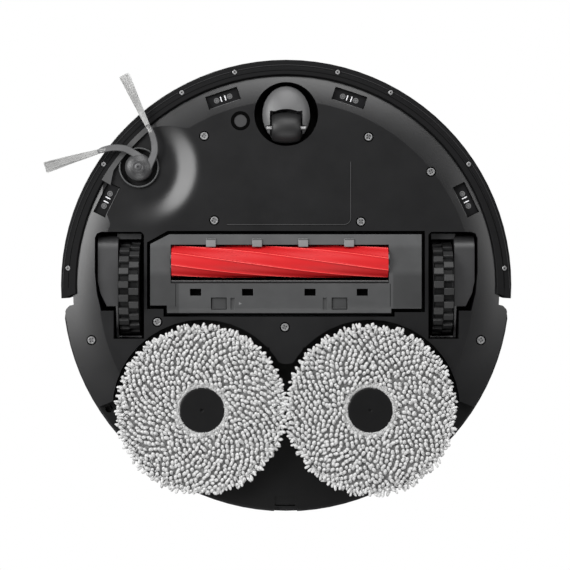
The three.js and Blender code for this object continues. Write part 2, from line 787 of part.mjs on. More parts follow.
function brushBay() {
  const { y, z, r, left, right, pinR } = ROLLER;
  const outer = prism(coverOutline(1.4), 12.2, 32);
  const chamber = barX(r + 1.6, left - 1.2, right + 1.2, y, z, 40);
  const mouth = block(left - 1.2, right + 1.2, y - r - 1.6, WINDOW.rear, 10, z);
  const throat = block(-18, 18, y, 14, 21, 28);
  const chimney = block(-20.5, 20.5, -0.5, BIN.front - 1, 30, 62);
  const rise = block(-18, 18, 2, 14, 21, 59.5);
  const outlet = block(-18, 18, 10, 30, 46, 59.5);
  const pins = barX(pinR + 0.4, left - 5, right + 5, y, z, 12);
  return cut(join(outer, chimney), chamber, mouth, throat, rise, outlet, pins);
}
add("brush_bay", brushBay(), M.trim);

const LATCH = { centres: [-52.2, 41.3], half: 6, front: 7.6, rear: 16.6 };

function brushCover() {
  const { low, high, left, right, rear } = COVER;
  const plate = prism(coverOutline(), low, high);
  const window = block(WINDOW.left, WINDOW.right, WINDOW.front, WINDOW.rear, 0, 20);
  const slots = [-70.2, -29.9, 18.5, 59].map((x) => block(x - 4.3, x + 4.3, 0.6, 5.9, 0, 20));
  const latches = LATCH.centres.flatMap((x) => [
    block(x - LATCH.half, x + LATCH.half, LATCH.front - 0.2, LATCH.rear, 0, 20),
    block(x - LATCH.half, x + LATCH.half, 4.6, LATCH.rear, low + 1.3, 20),
  ]);
  const wedge = [[rear - 5, low - 1], [rear + 1, low - 1], [rear + 1, low + 2.6], [rear - 5, low]];
  const slope = prismX(wedge, left - 1, right + 1);
  const keys = [-41.5, 30].map((x) => {
    return block(x - 1.6, x + 1.6, LATCH.front, LATCH.rear, low - 1, low + 1.6);
  });
  const tabs = [-58.3, -22.5, 13.2, 48.7].map((x) => {
    return block(x - 3.7, x + 3.7, -38.3, -32.1, low - 1.2, low + 0.6);
  });
  return join(cut(plate, window, slope, ...slots, ...latches, ...keys), ...tabs);
}
add("brush_cover", brushCover(), M.grey);
LATCH.centres.forEach((x, i) => {
  const pad = block(x - 5.6, x + 5.6, LATCH.front, LATCH.rear - 0.4, COVER.low + 1.6, COVER.high);
  const ledge = block(x - 5.6, x + 5.6, LATCH.rear - 1.4, LATCH.rear - 0.4, COVER.low + 1, COVER.low + 2);
  add(`brush_cover_latch_${i + 1}`, join(pad, ledge), M.grey);
});

// ---------------------------------------------------------------- drive wheels
function wheelArm() {
  const { pivotY, pivotZ } = WHEEL;
  const inner = WHEEL.x + WHEEL.wide / 2 + 0.9;
  const nose = arcPoints(pivotY, pivotZ, 11, Math.PI, 1.5 * Math.PI, 6);
  const profile = [...nose, [14.1, 15], [14.1, 40], [7, 50], [-20, 50], [pivotY - 11, 38]];
  const gearbox = cut(
    prismX(profile, inner, 146.5),
    prism([[150, -8], [146.2, -4], [144.5, 4], [139.4, 14.5], [139.4, 20], [150, 20]], 0, 60),
  );
  const plate = [[pivotY, 16], [14, 15], [38.6, 25], [36, 45], [0, 50], [pivotY, 36]];
  const guard = prismX(plate, inner, inner + 1.6);
  const crossbar = block(113.2, inner + 1, pivotY - 12.4, pivotY - 8.2, pivotZ - 4.5, pivotZ + 3);
  return cut(join(gearbox, guard, crossbar), barX(WHEEL.axleR + 0.4, inner - 1, inner + 9, 0, WHEEL.r, 16));
}

// Lays a shape turned about Z along the wheel's axle.
function aboutAxle(shape) {
  return shape.rotateY(Math.PI / 2).translate(WHEEL.x, 0, WHEEL.r);
}

function tyre() {
  const half = WHEEL.wide / 2;
  const { r, rimR } = WHEEL;
  const face = [[rimR, half], [r - 0.8, half], [r, half - 0.8]];
  const back = face.map(([radius, x]) => [radius, -x]);
  return aboutAxle(ring([...back, ...face.reverse()], 0, 0, 36));
}

function wheelHub() {
  const rim = WHEEL.rimR - GAP;
  const dish = [[0, -6.4], [8, -6.4], [10, -4.5], [rim - 3, -4.5], [rim, -6.8], [rim, 6.8], [0, 6.8]];
  return join(aboutAxle(turned(dish, 0, 0, 24)), barX(WHEEL.axleR, WHEEL.x, WHEEL.x + 16, 0, WHEEL.r, 12));
}

for (const [side, name] of [[-1, "left"], [1, "right"]]) {
  const place = (shape) => {
    const geometry = geometryOf(solidOf(shape));
    if (side > 0) return geometry;
    geometry.scale(-1, 1, 1);
    geometry.index.array.reverse();
    return geometry;
  };
  add(`${name}_wheel_arm`, place(wheelArm()), M.grey);
  add(`${name}_tyre`, place(tyre()), M.rubber);
  add(`${name}_wheel_hub`, place(wheelHub()), M.black);
}

// ---------------------------------------------------------------- mops
function mopCarrier() {
  const beam = roundedBox(-82, 82, 87, 112, 6, 30, 42);
  const spindles = [-MOP.x, MOP.x].map((x) => bar(7, 20.3, 31, x, MOP.y, 20));
  return join(beam, ...spindles);
}
add("mop_carrier", mopCarrier(), M.grey);

function mopDisc(x) {
  const disc = turned(
    [
      [0, 4],
      [MOP.hubR - 0.6, 4],
      [MOP.hubR, 4.6],
      [MOP.hubR, 10.6],
      [MOP.discR, 10.6],
      [MOP.discR, 13.4],
      [11, 13.4],
      [11, 20],
      [0, 20],
    ],
    x,
    MOP.y,
    32,
  );
  return cut(disc, bar(1.4, 3, 5.4, x, MOP.y, 8));
}

for (const [side, name] of [[-1, "left"], [1, "right"]]) {
  const x = side * MOP.x;
  const inner = MOP.hubR + 1;
  const section = [[inner, 0], [60, 0], [MOP.padR, 3.4], [MOP.padR, 6.4], [60, 10.2], [inner, 10.2]];
  add(`${name}_mop_disc`, mopDisc(x), M.black);
  add(`${name}_mop_pad`, ring(section, x, MOP.y, 36), M.cloth);
}

export default robot;
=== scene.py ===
"""Looks of the round robot vacuum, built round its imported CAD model. Lengths are in metres."""

import math
import random

import bpy
from mathutils import Matrix, Vector


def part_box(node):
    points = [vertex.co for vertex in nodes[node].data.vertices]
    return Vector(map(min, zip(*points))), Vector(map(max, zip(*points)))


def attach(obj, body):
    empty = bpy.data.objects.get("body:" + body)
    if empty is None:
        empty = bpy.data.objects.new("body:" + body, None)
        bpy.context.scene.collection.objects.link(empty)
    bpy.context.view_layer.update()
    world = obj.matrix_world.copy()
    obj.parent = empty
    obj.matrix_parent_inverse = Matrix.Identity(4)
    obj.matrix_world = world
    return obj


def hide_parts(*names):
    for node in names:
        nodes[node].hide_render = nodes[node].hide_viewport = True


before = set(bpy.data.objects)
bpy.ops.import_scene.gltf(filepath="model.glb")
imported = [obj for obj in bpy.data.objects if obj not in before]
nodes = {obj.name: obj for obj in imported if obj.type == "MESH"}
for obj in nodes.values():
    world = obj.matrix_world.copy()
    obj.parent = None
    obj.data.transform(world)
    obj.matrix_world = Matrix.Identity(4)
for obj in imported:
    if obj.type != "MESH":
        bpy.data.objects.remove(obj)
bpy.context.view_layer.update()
mm = 0.001

# ------------------------------------------------------------------ stage
CAMERA_AT = Vector((0.00507, -0.00238, -1.648))
LENS = 135
FLOOR_Z = -0.0004
FLOOR_HALF = 9
LAMPS = {  # name: place, diameter, power in watts
    "key_below": ((-1.22, -0.4, -1.13), 1.2, 36),
    "front_below": ((0.13, -1.3, -1.1), 1.3, 25),
    "right_below": ((1.25, -0.3, -1.15), 1.0, 9),
    "rear_below": ((0.0, 1.3, -1.1), 1.2, 13),
    "key_above": ((-1.1, -1.2, 1.5), 1.4, 26),
    "fill_above": ((1.4, 0.6, 1.3), 1.2, 16),
}
LAMPS_AIM = (0.006, 0, 0.02)


def aim(obj, target):
    obj.rotation_mode = "QUATERNION"
    obj.rotation_quaternion = (Vector(target) - obj.location).to_track_quat("-Z", "Y")


def make_camera():
    camera = bpy.data.objects.new("camera", bpy.data.cameras.new("camera"))
    bpy.context.scene.collection.objects.link(camera)
    camera.location = CAMERA_AT
    camera.rotation_euler = (math.pi, 0, 0)
    camera.data.lens = LENS
    camera.data.sensor_width = 36
    camera.data.clip_end = 50
    bpy.context.scene.camera = camera


def make_lamp(name, at, size, power):
    lamp = bpy.data.objects.new(name, bpy.data.lights.new(name, "AREA"))
    bpy.context.scene.collection.objects.link(lamp)
    lamp.location = at
    lamp.data.shape = "DISK"
    lamp.data.size = size
    lamp.data.energy = power
    aim(lamp, LAMPS_AIM)
    lamp.visible_camera = False


def make_world(seen, light):
    world = bpy.data.worlds.new("studio")
    bpy.context.scene.world = world
    world.use_nodes = True
    tree = world.node_tree
    background = tree.nodes["Background"]
    background.inputs["Color"].default_value = (1, 1, 1, 1)
    path = tree.nodes.new("ShaderNodeLightPath")
    strength = tree.nodes.new("ShaderNodeMapRange")
    strength.inputs["To Min"].default_value = light
    strength.inputs["To Max"].default_value = seen
    tree.links.new(path.outputs["Is Camera Ray"], strength.inputs["Value"])
    tree.links.new(strength.outputs["Result"], background.inputs["Strength"])


def make_floor():
    """A pale floor that shows from above only, so that the view from below sees the robot."""
    mesh = bpy.data.meshes.new("floor")
    corners = [(-1, -1), (1, -1), (1, 1), (-1, 1)]
    mesh.from_pydata([(FLOOR_HALF * x, FLOOR_HALF * y, FLOOR_Z) for x, y in corners], [], [(0, 1, 2, 3)])
    floor = bpy.data.objects.new("floor", mesh)
    bpy.context.scene.collection.objects.link(floor)
    paint = bpy.data.materials.new("floor")
    paint.use_nodes = True
    tree = paint.node_tree
    principled = tree.nodes["Principled BSDF"]
    principled.inputs["Base Color"].default_value = (0.82, 0.82, 0.81, 1)
    principled.inputs["Roughness"].default_value = 0.7
    clear = tree.nodes.new("ShaderNodeBsdfTransparent")
    mix = tree.nodes.new("ShaderNodeMixShader")
    side = tree.nodes.new("ShaderNodeNewGeometry")
    tree.links.new(side.outputs["Backfacing"], mix.inputs["Fac"])
    tree.links.new(principled.outputs["BSDF"], mix.inputs[1])
    tree.links.new(clear.outputs["BSDF"], mix.inputs[2])
    tree.links.new(mix.outputs["Shader"], tree.nodes["Material Output"].inputs["Surface"])
    mesh.materials.append(paint)
    floor.visible_shadow = False
    floor.visible_diffuse = False
    floor.visible_glossy = False


make_camera()
make_world(seen=1.0, light=0.06)
make_floor()
for lamp_name, (lamp_at, lamp_size, lamp_power) in LAMPS.items():
    make_lamp(lamp_name, lamp_at, lamp_size, lamp_power)
view = bpy.context.scene.view_settings
view.view_transform = "Standard"
view.look = "None"


def centre_of(node):
    low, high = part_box(node)
    return (low + high) / 2


BODY = centre_of("turret_cap") + Vector((0, 45, 0)) * mm  # the middle of the round body


# ------------------------------------------------------------------ materials
MOTTLE_SCALE = 38  # patches per metre of the slow colour variation
FIBRE_SCALE = 900  # fibres per metre of the cloth
GRAIN_DEPTH = 0.08  # depth of the moulded grain as a share of its size


def node_of(made, kind):
    return next(n for n in made.node_tree.nodes if n.type == kind)


def noise(tree, place, scale, detail, rough=0.5):
    made = tree.nodes.new("ShaderNodeTexNoise")
    made.inputs["Scale"].default_value = scale
    made.inputs["Detail"].default_value = detail
    made.inputs["Roughness"].default_value = rough
    tree.links.new(place.outputs["Object"], made.inputs["Vector"])
    return made


def two_tone(tree, source, stops):
    """Colours the surface by a noise, between two (value, colour) stops."""
    ramp = tree.nodes.new("ShaderNodeValToRGB")
    for element, (position, color) in zip(ramp.color_ramp.elements, stops):
        element.position = position
        element.color = (*color, 1)
    tree.links.new(source.outputs["Fac"], ramp.inputs["Fac"])
    tree.links.new(ramp.outputs["Color"], tree.nodes["Principled BSDF"].inputs["Base Color"])


def material(name, color, rough, metal=0.0, specular=0.5, grain=0.4, grain_mm=0.4, mottle=0.12, sheen=0.0):
    """A surface with slow colour and gloss variation and a fine moulded grain."""
    made = bpy.data.materials.new(name)
    made.use_nodes = True
    tree = made.node_tree
    shader = tree.nodes["Principled BSDF"]
    shader.inputs["Metallic"].default_value = metal
    shader.inputs["Specular IOR Level"].default_value = specular
    shader.inputs["Sheen Weight"].default_value = sheen
    place = tree.nodes.new("ShaderNodeTexCoord")
    slow = noise(tree, place, MOTTLE_SCALE, 5, 0.6)
    dark = [c * (1 - mottle) for c in color]
    light = [min(1, c * (1 + mottle)) for c in color]
    two_tone(tree, slow, ((0.3, dark), (0.7, light)))
    gloss = tree.nodes.new("ShaderNodeMapRange")
    gloss.inputs["To Min"].default_value = rough * 0.9
    gloss.inputs["To Max"].default_value = min(1, rough * 1.12)
    tree.links.new(slow.outputs["Fac"], gloss.inputs["Value"])
    tree.links.new(gloss.outputs["Result"], shader.inputs["Roughness"])
    fine = noise(tree, place, 1 / (grain_mm * mm), 2)
    bump = tree.nodes.new("ShaderNodeBump")
    bump.inputs["Strength"].default_value = grain
    bump.inputs["Distance"].default_value = GRAIN_DEPTH * grain_mm * mm
    tree.links.new(fine.outputs["Fac"], bump.inputs["Height"])
    tree.links.new(bump.outputs["Normal"], shader.inputs["Normal"])
    return made


class Sums:
    """Arithmetic on values inside a material's node tree."""

    def __init__(self, made):
        self.tree = made.node_tree
        self.shader = self.tree.nodes["Principled BSDF"]
        place = node_of(made, "TEX_COORD")
        split = self.tree.nodes.new("ShaderNodeSeparateXYZ")
        self.tree.links.new(place.outputs["Object"], split.inputs["Vector"])
        self.x, self.y, self.z = split.outputs

    def put(self, value, socket):
        if isinstance(value, (int, float)):
            socket.default_value = value
        else:
            self.tree.links.new(value, socket)

    def do(self, operation, a, b=0.0):
        node = self.tree.nodes.new("ShaderNodeMath")
        node.operation = operation
        self.put(a, node.inputs[0])
        self.put(b, node.inputs[1])
        return node.outputs["Value"]

    def ramp(self, value, low, high, first=0.0, last=1.0):
        node = self.tree.nodes.new("ShaderNodeMapRange")
        self.put(value, node.inputs["Value"])
        for name, bound in (("From Min", low), ("From Max", high), ("To Min", first), ("To Max", last)):
            node.inputs[name].default_value = bound
        return node.outputs["Result"]

    def plus(self, a, b):
        return self.do("ADD", a, b)

    def minus(self, a, b):
        return self.do("SUBTRACT", a, b)

    def times(self, a, b):
        return self.do("MULTIPLY", a, b)

    def over(self, a, b):
        return self.do("DIVIDE", a, b)

    def blend(self, a, b, share):
        return self.plus(self.times(a, self.minus(1, share)), self.times(b, share))

    def polar(self, centre):
        """The place across and along from a centre, and the distance to it."""
        x, y = self.minus(self.x, centre.x), self.minus(self.y, centre.y)
        return x, y, self.do("SQRT", self.plus(self.times(x, x), self.times(y, y)))

    def vector(self, x, y, z):
        node = self.tree.nodes.new("ShaderNodeCombineXYZ")
        for value, socket in zip((x, y, z), node.inputs):
            self.put(value, socket)
        return node.outputs["Vector"]

    def tint(self, share):
        """Scales the base colour."""
        node = self.tree.nodes.new("ShaderNodeVectorMath")
        node.operation = "SCALE"
        self.tree.links.new(self.shader.inputs["Base Color"].links[0].from_socket, node.inputs[0])
        self.put(share, node.inputs["Scale"])
        self.tree.links.new(node.outputs["Vector"], self.shader.inputs["Base Color"])


def painted_depth_shade(made, low, high, share):
    """Paints shade into the base colour: a surface gets darker as it gets deeper in the body, from a height
    of low to high in millimetres.
    """
    sums = Sums(made)
    sums.tint(sums.ramp(sums.z, low * mm, high * mm, 1, share))


def painted_cover_light(made, middle):
    """Paints light and shade into the cover's colour: lighter along its front strip, where more light falls,
    and darker at the rear of its two ends, which face away from the light.
    """
    sums = Sums(made)
    off = sums.do("ABSOLUTE", sums.minus(sums.x, middle))
    ends = sums.ramp(off, 82.6 * mm, 83.4 * mm)
    rear = sums.ramp(sums.y, -14 * mm, -9 * mm, 0.84, 0.5)
    centre = sums.ramp(sums.y, -34 * mm, -30 * mm, 1.12, 0.78)
    front = sums.ramp(sums.y, -34 * mm, -20 * mm, 1.12, 0)
    sums.tint(sums.blend(centre, sums.do("MAXIMUM", front, rear), ends))


FLAT_Z = 10 * mm  # height of the flat underside
RING = {  # the border's profile: where it starts to curve up, its rise and its steepness
    "start": 144.8 * mm,
    "slope": 0.13,
    "curve": 6.9,
    "first_steep": 0.11,
    "more_steep": 7.6,
    "wide": 20 * mm,
    "soft": 0.8 * mm,
}
DISH = {  # the dish's profile, and the shares of its slope: all round, towards its deep side and at least
    "reach": 51 * mm,
    "wide": 27 * mm,
    "deep": 5.8 * mm,
    "steep": -0.42,
    "sharp": 2.3,
    "along": 0.5,
    "even": 0.3,
    "uneven": 0.78,
    "least": 0.15,
}
DEEP_SIDE = (0.966, 0.259)  # direction in which the dish's wall is steepest
JOIN = 0.06 * mm  # half the height over which the border turns into the dish


def curved_underside(made, body, hub):
    """Shades the curved border and the dish round the side brush as the smooth surfaces that they are."""
    sums = Sums(made)
    x, y, r = sums.polar(body)
    t = sums.do("MAXIMUM", sums.minus(r, RING["start"]), 0)
    rise = sums.plus(sums.times(t, RING["slope"]), sums.times(sums.times(t, t), RING["curve"]))
    steep = sums.times(sums.do("MINIMUM", t, RING["wide"]), RING["more_steep"])
    steep = sums.times(sums.plus(RING["first_steep"], steep), sums.ramp(t, 0, RING["soft"]))
    u, v, d = sums.polar(hub)
    s = sums.ramp(d, DISH["reach"], DISH["reach"] - DISH["wide"])
    toward = sums.over(sums.plus(sums.times(u, DEEP_SIDE[0]), sums.times(v, DEEP_SIDE[1])), d)
    facing = sums.plus(sums.times(toward, DISH["uneven"]), DISH["even"])
    facing = sums.do("MINIMUM", sums.do("MAXIMUM", facing, DISH["least"]), 1)
    drop = sums.times(sums.times(s, s), sums.minus(3, sums.times(s, 2)))
    drop = sums.times(drop, DISH["deep"])
    wave = sums.times(sums.times(s, sums.minus(1, s)), 4)
    sink = sums.times(sums.times(sums.do("POWER", wave, DISH["sharp"]), DISH["steep"]), facing)
    inside = sums.ramp(sums.minus(drop, rise), -JOIN, JOIN)
    ring_tilt = [sums.times(steep, sums.over(part, r)) for part in (x, y)]
    sink_along = sums.times(sink, DISH["along"])
    dish_tilt = [sums.times(sink, sums.over(u, d)), sums.times(sink_along, sums.over(v, d))]
    tilt_x, tilt_y = [sums.blend(ring, dish, inside) for ring, dish in zip(ring_tilt, dish_tilt)]
    surface = sums.tree.nodes.new("ShaderNodeNewGeometry")
    real = sums.tree.nodes.new("ShaderNodeSeparateXYZ")
    sums.tree.links.new(surface.outputs["Normal"], real.inputs["Vector"])
    above = sums.minus(sums.z, sums.plus(sums.do("MAXIMUM", rise, drop), FLAT_Z))
    faces_down = sums.ramp(real.outputs["Z"], -0.82, -0.9)
    mask = sums.times(faces_down, sums.ramp(above, 1.1 * mm, 0.7 * mm))
    parts = [sums.blend(was, now, mask) for was, now in zip(real.outputs, (tilt_x, tilt_y, -1))]
    level = sums.tree.nodes.new("ShaderNodeVectorMath")
    level.operation = "NORMALIZE"
    sums.tree.links.new(sums.vector(*parts), level.inputs[0])
    sums.tree.links.new(level.outputs["Vector"], node_of(made, "BUMP").inputs["Normal"])


def cloth(name, dark, light):
    """Chenille: short crossed fibres over light and dark yarn."""
    made = material(name, light, 0.95, specular=0.15, grain=1.0, grain_mm=0.35, sheen=0.3)
    tree = made.node_tree
    fibre = noise(tree, node_of(made, "TEX_COORD"), FIBRE_SCALE, 6, 0.75)
    two_tone(tree, fibre, ((0.32, dark), (0.6, light)))
    bump = node_of(made, "BUMP")
    bump.inputs["Distance"].default_value = 0.3 * mm
    tree.links.new(fibre.outputs["Fac"], bump.inputs["Height"])
    return made


def brushed(name, color, rough):
    """Metal with fine parallel scratches."""
    made = material(name, color, rough, metal=1.0, grain=0.5, grain_mm=0.2, mottle=0.06)
    tree = made.node_tree
    place = node_of(made, "TEX_COORD")
    fine = tree.nodes["Noise Texture.001"]
    stretch = tree.nodes.new("ShaderNodeMapping")
    stretch.inputs["Scale"].default_value = (1, 12, 1)
    tree.links.new(place.outputs["Object"], stretch.inputs["Vector"])
    tree.links.new(stretch.outputs["Vector"], fine.inputs["Vector"])
    return made


BLACK = material("black_plastic", (0.0065, 0.0065, 0.007), 0.32, specular=0.5, grain=0.12)
BASE = material("base_plastic", (0.0052, 0.0052, 0.0056), 0.32, specular=0.5, grain=0.12)
# painted shade: the chassis base darkens in its deep recesses, from 18 to 23 mm up
painted_depth_shade(BASE, 18, 23, 0.28)
curved_underside(BASE, BODY, centre_of("side_brush_hub"))
# near-black paint: painted shade in the caster's well, in the bumper screws' recesses and between the tyre's
# treads; it also colours the dark seams of the brush cover
RECESS_SHADE_AND_SEAMS = material("recess_shade_and_seam_paint", (0.003, 0.003, 0.0032), 0.5, specular=0.12, grain=0.2)
# near-black paint that stands for shade: inside the brush bay, in the chassis screws' holes, in the trim's
# groove and in the ring round the carpet sensor
VOID_SHADE = material("void_shade_paint", (0.0012, 0.0012, 0.0012), 0.8, specular=0.02, grain=0.1)
TRIM = material("trim_plastic", (0.0045, 0.0045, 0.0048), 0.55, specular=0.1, grain=0.2)
GLOSS = material("gloss_plastic", (0.012, 0.012, 0.013), 0.4, specular=0.35, grain=0.1)
TOP = material("top_plastic", (0.02, 0.02, 0.021), 0.45, grain=0.5, grain_mm=0.6)
GREY = material("grey_plastic", (0.056, 0.057, 0.058), 0.45, specular=0.35, grain=0.3)
COVER = material("cover_plastic", (0.054, 0.055, 0.056), 0.45, specular=0.35, grain=0.3)
# painted light and shade on the brush cover
painted_cover_light(COVER, centre_of("brush_cover").x)
# pale paint for a painted highlight on the rim beside the side brush's pit
RIM_HIGHLIGHT = material("rim_highlight_paint", (0.058, 0.058, 0.0585), 0.4, specular=0.3, grain=0.2)
LATCH = material("latch_plastic", (0.03, 0.0305, 0.031), 0.45, specular=0.25, grain=0.3)
# pale grey for a painted highlight on the clips along the brush cover's front
TAB_HIGHLIGHT = material("tab_highlight_paint", (0.15, 0.15, 0.152), 0.45, specular=0.4, grain=0.3)
GEAR = material("gearbox_plastic", (0.029, 0.029, 0.03), 0.42, specular=0.4, grain=0.3)
DOME = material("caster_plastic", (0.09, 0.09, 0.0915), 0.44, specular=0.42, grain=0.1)
CASTER_WHEEL = material("caster_rubber", (0.008, 0.008, 0.0083), 0.5, specular=0.4, grain=0.3)
TANK = material("tank_plastic", (0.05, 0.055, 0.06), 0.25, grain=0.1)
LENS_PAINT = material("lens_plastic", (0.004, 0.004, 0.005), 0.24, specular=0.3, grain=0.02)
PORT = material("sensor_window", (0.006, 0.006, 0.0065), 0.3, specular=0.3, grain=0.3)
BOARD = material("board", (0.02, 0.12, 0.05), 0.5)
TYRE = material("tyre_rubber", (0.012, 0.012, 0.0123), 0.5, specular=0.38, grain=0.6, grain_mm=0.3)
RUBBER = material("hub_rubber", (0.04, 0.04, 0.041), 0.38, specular=0.4, grain=0.2)
STRAP = material("strap_rubber", (0.1, 0.1, 0.102), 0.42, grain=0.4, mottle=0.2)
RED = material("red_rubber", (0.43, 0.009, 0.011), 0.5, specular=0.22, grain=0.2, mottle=0.05)
# pale red for the painted highlight along the brush fins' edges
RED_TIP_HIGHLIGHT = material("red_rubber_tip_highlight", (0.85, 0.1, 0.09), 0.45, specular=0.3, grain=0.1, mottle=0.05)
STEEL = brushed("steel", (0.5, 0.5, 0.51), 0.36)
HUB_SCREW = brushed("hub_screw_steel", (0.1, 0.1, 0.102), 0.5)
SCREW = brushed("screw_steel", (0.3, 0.3, 0.302), 0.42)
BRISTLE = material("nylon", (0.4, 0.4, 0.395), 0.4, grain=0.2, mottle=0.2)
CLOTH = cloth("mop_cloth", (0.3, 0.3, 0.299), (0.58, 0.58, 0.578))
# darker cloth under the pile: painted shade in the gaps between the fingers
BACKING_SHADE = cloth("mop_backing_shade", (0.08, 0.08, 0.08), (0.2, 0.2, 0.199))
FLEECE = cloth("mop_fleece", (0.22, 0.22, 0.219), (0.46, 0.46, 0.458))
# near-white paint for the painted glints on the cliff sensors' emitters
GLINT = material("emitter_glint", (0.62, 0.62, 0.635), 0.2, specular=0.6, grain=0.05)
MARK = material("mark_print", (0.12, 0.12, 0.122), 0.5)
# pale paint for painted highlights on fine raised edges and steps
SEAM_HIGHLIGHT = material("seam_highlight_paint", (0.035, 0.035, 0.036), 0.4)
MOP_HUB = material("mop_hub_plastic", (0.0034, 0.0034, 0.0036), 0.45, specular=0.16, grain=0.15)


# ------------------------------------------------------------------ finish of the CAD pieces
def smooth_group(degrees):
    """Geometry nodes that shade smooth, apart from edges sharper than the angle."""
    group = bpy.data.node_groups.new("smooth_by_angle", "GeometryNodeTree")
    group.interface.new_socket("Geometry", in_out="INPUT", socket_type="NodeSocketGeometry")
    group.interface.new_socket("Geometry", in_out="OUTPUT", socket_type="NodeSocketGeometry")
    entry = group.nodes.new("NodeGroupInput")
    leave = group.nodes.new("NodeGroupOutput")
    faces = group.nodes.new("GeometryNodeSetShadeSmooth")
    edges = group.nodes.new("GeometryNodeSetShadeSmooth")
    edges.domain = "EDGE"
    edges.inputs["Shade Smooth"].default_value = False
    angle = group.nodes.new("GeometryNodeInputMeshEdgeAngle")
    sharper = group.nodes.new("FunctionNodeCompare")
    sharper.inputs["B"].default_value = math.radians(degrees)
    group.links.new(entry.outputs[0], faces.inputs["Geometry"])
    group.links.new(faces.outputs[0], edges.inputs["Geometry"])
    group.links.new(angle.outputs["Unsigned Angle"], sharper.inputs["A"])
    group.links.new(sharper.outputs[0], edges.inputs["Selection"])
    group.links.new(edges.outputs[0], leave.inputs[0])
    return group


SMOOTH_ANGLE = 38  # degrees; an edge that is sharper stays sharp
CHASSIS_ANGLE = 19  # the same for the chassis
SMOOTH = {degrees: smooth_group(degrees) for degrees in (CHASSIS_ANGLE, SMOOTH_ANGLE)}
WELD_GAP = 0.002 * mm


def add_bevel(obj, width, degrees):
    edge = obj.modifiers.new("edge", "BEVEL")
    edge.width = width * mm
    edge.segments = 2
    edge.limit_method = "ANGLE"
    edge.angle_limit = math.radians(degrees)


def finish_cad(name, paint, bevel, smooth):
    node = nodes[name]
    node.data.materials.clear()
    node.data.materials.append(paint)
    node.modifiers.new("weld", "WELD").merge_threshold = WELD_GAP
    flat = node.modifiers.new("flat", "DECIMATE")
    flat.decimate_type = "DISSOLVE"
    flat.angle_limit = math.radians(0.6)
    if bevel:
        add_bevel(node, bevel, 32)
    shade = node.modifiers.new("smooth", "NODES")
    shade.node_group = SMOOTH[smooth]
    normals = node.modifiers.new("normals", "WEIGHTED_NORMAL")
    normals.keep_sharp = True


CAD_FINISH = [
    (BASE, 0.35, ["chassis_base"]),
    (TOP, 0.5, ["top_shell", "turret_cap"]),
    (GLOSS, 0.4, ["rear_shell", "top_lid", "bumper_shell", "turret_base"]),
    (TRIM, 0.3, ["bumper_trim"]),
    # the caster's socket is painted near-black: painted shade in its well
    (RECESS_SHADE_AND_SEAMS, 0.3, ["caster_socket"]),
    # the brush bay is painted near-black: painted shade inside it
    (VOID_SHADE, 0.3, ["brush_bay"]),
    (DOME, 0.5, ["caster_fork"]),
    (COVER, 0.35, ["brush_cover"]),
    (GREY, 0.35, ["dustbin_lid", "mop_carrier"]),
    (LATCH, 0.25, ["brush_cover_latch_1", "brush_cover_latch_2"]),
    (GREY, 0.25, ["power_button", "home_button"]),
    (GEAR, 0.6, ["left_wheel_arm", "right_wheel_arm", "left_wheel_hub", "right_wheel_hub"]),
    (GEAR, 0.3, ["carpet_sensor"]),
    (TRIM, 0.4, ["battery_pack", "side_brush_motor", "suction_fan"]),
    (TANK, 0.5, ["dustbin_tub", "water_tank"]),
    (LENS_PAINT, 0.2, ["bumper_window", "lidar_rotor"]),
    (PORT, 0.2, [f"cliff_sensor_{i}" for i in range(1, 5)]),
    (BOARD, 0, ["main_board"]),
    (SCREW, 0.2, ["caster_axle"]),
    (HUB_SCREW, 0.2, ["side_brush_screw"]),
    (STEEL, 0.2, ["charging_contact_left", "charging_contact_right", "brush_motor"]),
    (CASTER_WHEEL, 0, ["caster_wheel"]),
    (RUBBER, 0.4, ["side_brush_hub"]),
    (MOP_HUB, 0.4, ["left_mop_disc", "right_mop_disc"]),
]
for paint, bevel, names in CAD_FINISH:
    for name in names:
        finish_cad(name, paint, bevel, CHASSIS_ANGLE if name == "chassis_base" else SMOOTH_ANGLE)


